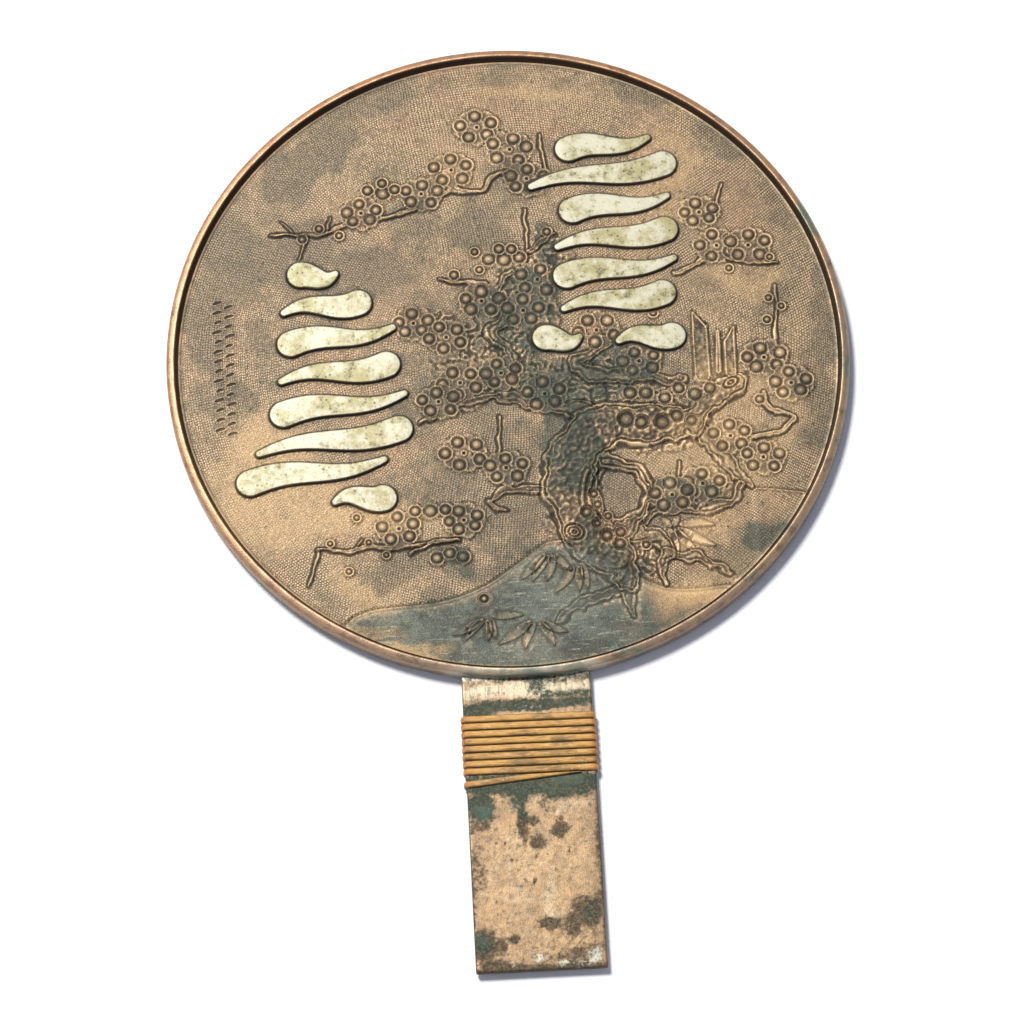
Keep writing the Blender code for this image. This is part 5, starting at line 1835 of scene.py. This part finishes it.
def faceMaterial():
    material, net, shader = newMaterial("mirrorFace")
    at = net.place()
    cloud = net.noise(at, 30.0, 7.0, 0.65)
    spots = specksOf(net, at, 6.0, 0.35)
    fine = net.noise(net.stretch(at, 1, 30, 1), 3.0, 2.0, 0.5)
    color = net.blend(net.span(cloud, 0.42, 0.66), faceLook["metal"], faceLook["brown"])
    color = net.blend(net.times(spots, net.span(cloud, 0.4, 0.6)), color, faceLook["green"])
    roughness = net.span(cloud, 0.4, 0.7, *faceLook["roughness"])
    finish(net, shader, color, faceLook["metallic"], roughness, fine, 0.00001)
    return material


caneLook = {
    "gold": tint(226, 180, 98),
    "orange": tint(182, 118, 50),
    "side": tint(194, 124, 56),
    "grime": tint(84, 74, 48),
    "dust": tint(214, 206, 180),
    "roughness": 0.42,
}


def caneMaterial():
    material, net, shader = newMaterial("caneFibre")
    at = net.place()
    across, along = net.attribute("across"), net.attribute("along")
    flow = {"X": net.times(across, 4.0), "Y": net.times(along, 0.12)}
    flow = net.make("ShaderNodeCombineXYZ", flow).outputs["Vector"]
    fibres = net.make("ShaderNodeTexNoise", {"Vector": flow, "Scale": 2.2, "Detail": 4.0}).outputs["Fac"]
    dirt = net.noise(net.stretch(at, 0.35, 1, 1), 3.4, 6.0, 0.7)
    edge = net.span(net.math("ABSOLUTE", across), 0.55, 0.95)
    color = net.blend(net.span(fibres, 0.38, 0.6), caneLook["orange"], caneLook["gold"])
    sideways = net.math("ABSOLUTE", net.make("ShaderNodeSeparateXYZ", {"Vector": at}).outputs["X"])
    color = net.blend(net.span(sideways, 0.0165, 0.0198, 0.0, 0.75), color, caneLook["side"])
    color = net.blend(net.times(net.span(dirt, 0.46, 0.62), 0.65), color, caneLook["grime"])
    # strand edges darkened: grime and painted shade in the gaps between the strands
    color = net.blend(net.times(edge, 0.8), color, caneLook["grime"])
    dust = specksOf(net, at, 1.1, 0.3)
    dust = net.times(dust, net.span(net.noise(at, 9.0, 3.0, 0.6), 0.5, 0.6))
    color = net.blend(net.times(dust, 0.7), color, caneLook["dust"])
    finish(net, shader, color, 0.0, caneLook["roughness"], fibres, 0.0001)
    return material


bronzeField = bronzeFieldMaterial()
silverStroke = silverMaterial()
bronzeRim = rimMaterial()
bronzeHandle = handleMaterial()
mirrorFace = faceMaterial()
caneFibre = caneMaterial()

for tile, index in tiles:
    tile.data.materials.append(bronzeField)
    tile.data.materials.append(silverStroke)
    tile.data.polygons.foreach_set("material_index", index)
for material in (bronzeRim, bronzeHandle, mirrorFace):
    castingBody.data.materials.append(material)
castingBody.data.polygons.foreach_set("material_index", bodyKinds)
caneBinding.data.materials.append(caneFibre)

# Floor, light and camera.
stage = {
    "floorHalf": 1.6,
    "floorColor": tint(250, 250, 252),
    "keyPower": 64.0,
    "keySize": 0.66,
    "keyAzimuth": 125.0,      # degrees from +x, counter-clockwise
    "keyElevation": 60.0,
    "keyDistance": 2.35,
    "keyColor": (1.0, 0.98, 0.95),
    "fill": 0.34,
    "fillColor": (0.74, 0.8, 1.0, 1.0),
}
half = stage["floorHalf"]
floorMesh = bpy.data.meshes.new("floor")
floorCorners = [(-half, -half, 0), (half, -half, 0), (half, half, 0), (-half, half, 0)]
floorMesh.from_pydata(floorCorners, [], [(0, 1, 2, 3)])
floor = bpy.data.objects.new("floor", floorMesh)
bpy.context.scene.collection.objects.link(floor)
floorMesh.materials.append(plainMaterial("paleFloor", stage["floorColor"], 0.0, 0.9))

world = bpy.data.worlds.new("studio")
bpy.context.scene.world = world
world.use_nodes = True
world.node_tree.nodes["Background"].inputs["Color"].default_value = stage["fillColor"]
world.node_tree.nodes["Background"].inputs["Strength"].default_value = stage["fill"]

lamp = bpy.data.lights.new("keyLight", "AREA")
lamp.shape = "DISK"
lamp.size = stage["keySize"]
lamp.energy = stage["keyPower"]
lamp.color = stage["keyColor"]
key = bpy.data.objects.new("keyLight", lamp)
a, e = math.radians(stage["keyAzimuth"]), math.radians(stage["keyElevation"])
aim = Vector((math.cos(a) * math.cos(e), math.sin(a) * math.cos(e), math.sin(e)))
key.location = aim * stage["keyDistance"]
key.rotation_euler = aim.to_track_quat("Z", "Y").to_euler()
bpy.context.scene.collection.objects.link(key)

camera = {
    "azimuth": -2.307,
    "elevation": 68.137,
    "distance": 1.4224,
    "roll": -0.691,
    "lens": 162.91,           # on a 36 mm wide square sensor
    "target": (-0.0015, -0.00455, 0.0),
}
a, e, roll = (math.radians(camera[k]) for k in ("azimuth", "elevation", "roll"))
back = Vector((math.sin(a) * math.cos(e), -math.cos(a) * math.cos(e), math.sin(e)))
right = Vector((math.cos(a), math.sin(a), 0))
up = back.cross(right)
tiltedRight = right * math.cos(roll) + up * math.sin(roll)
tiltedUp = up * math.cos(roll) - right * math.sin(roll)
lens = bpy.data.cameras.new("photoCamera")
lens.lens = camera["lens"]
lens.sensor_width = 36.0
photoCamera = bpy.data.objects.new("photoCamera", lens)
bpy.context.scene.collection.objects.link(photoCamera)
place = Vector(camera["target"]) + back * camera["distance"]
columns = (tiltedRight, tiltedUp, back)
rows = [[*(column[i] for column in columns), place[i]] for i in range(3)]
photoCamera.matrix_world = Matrix([*rows, [0, 0, 0, 1]])
bpy.context.scene.camera = photoCamera
bpy.context.scene.view_settings.view_transform = "Standard"

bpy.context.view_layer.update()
print("done", round(time.time() - started, 1), "s")
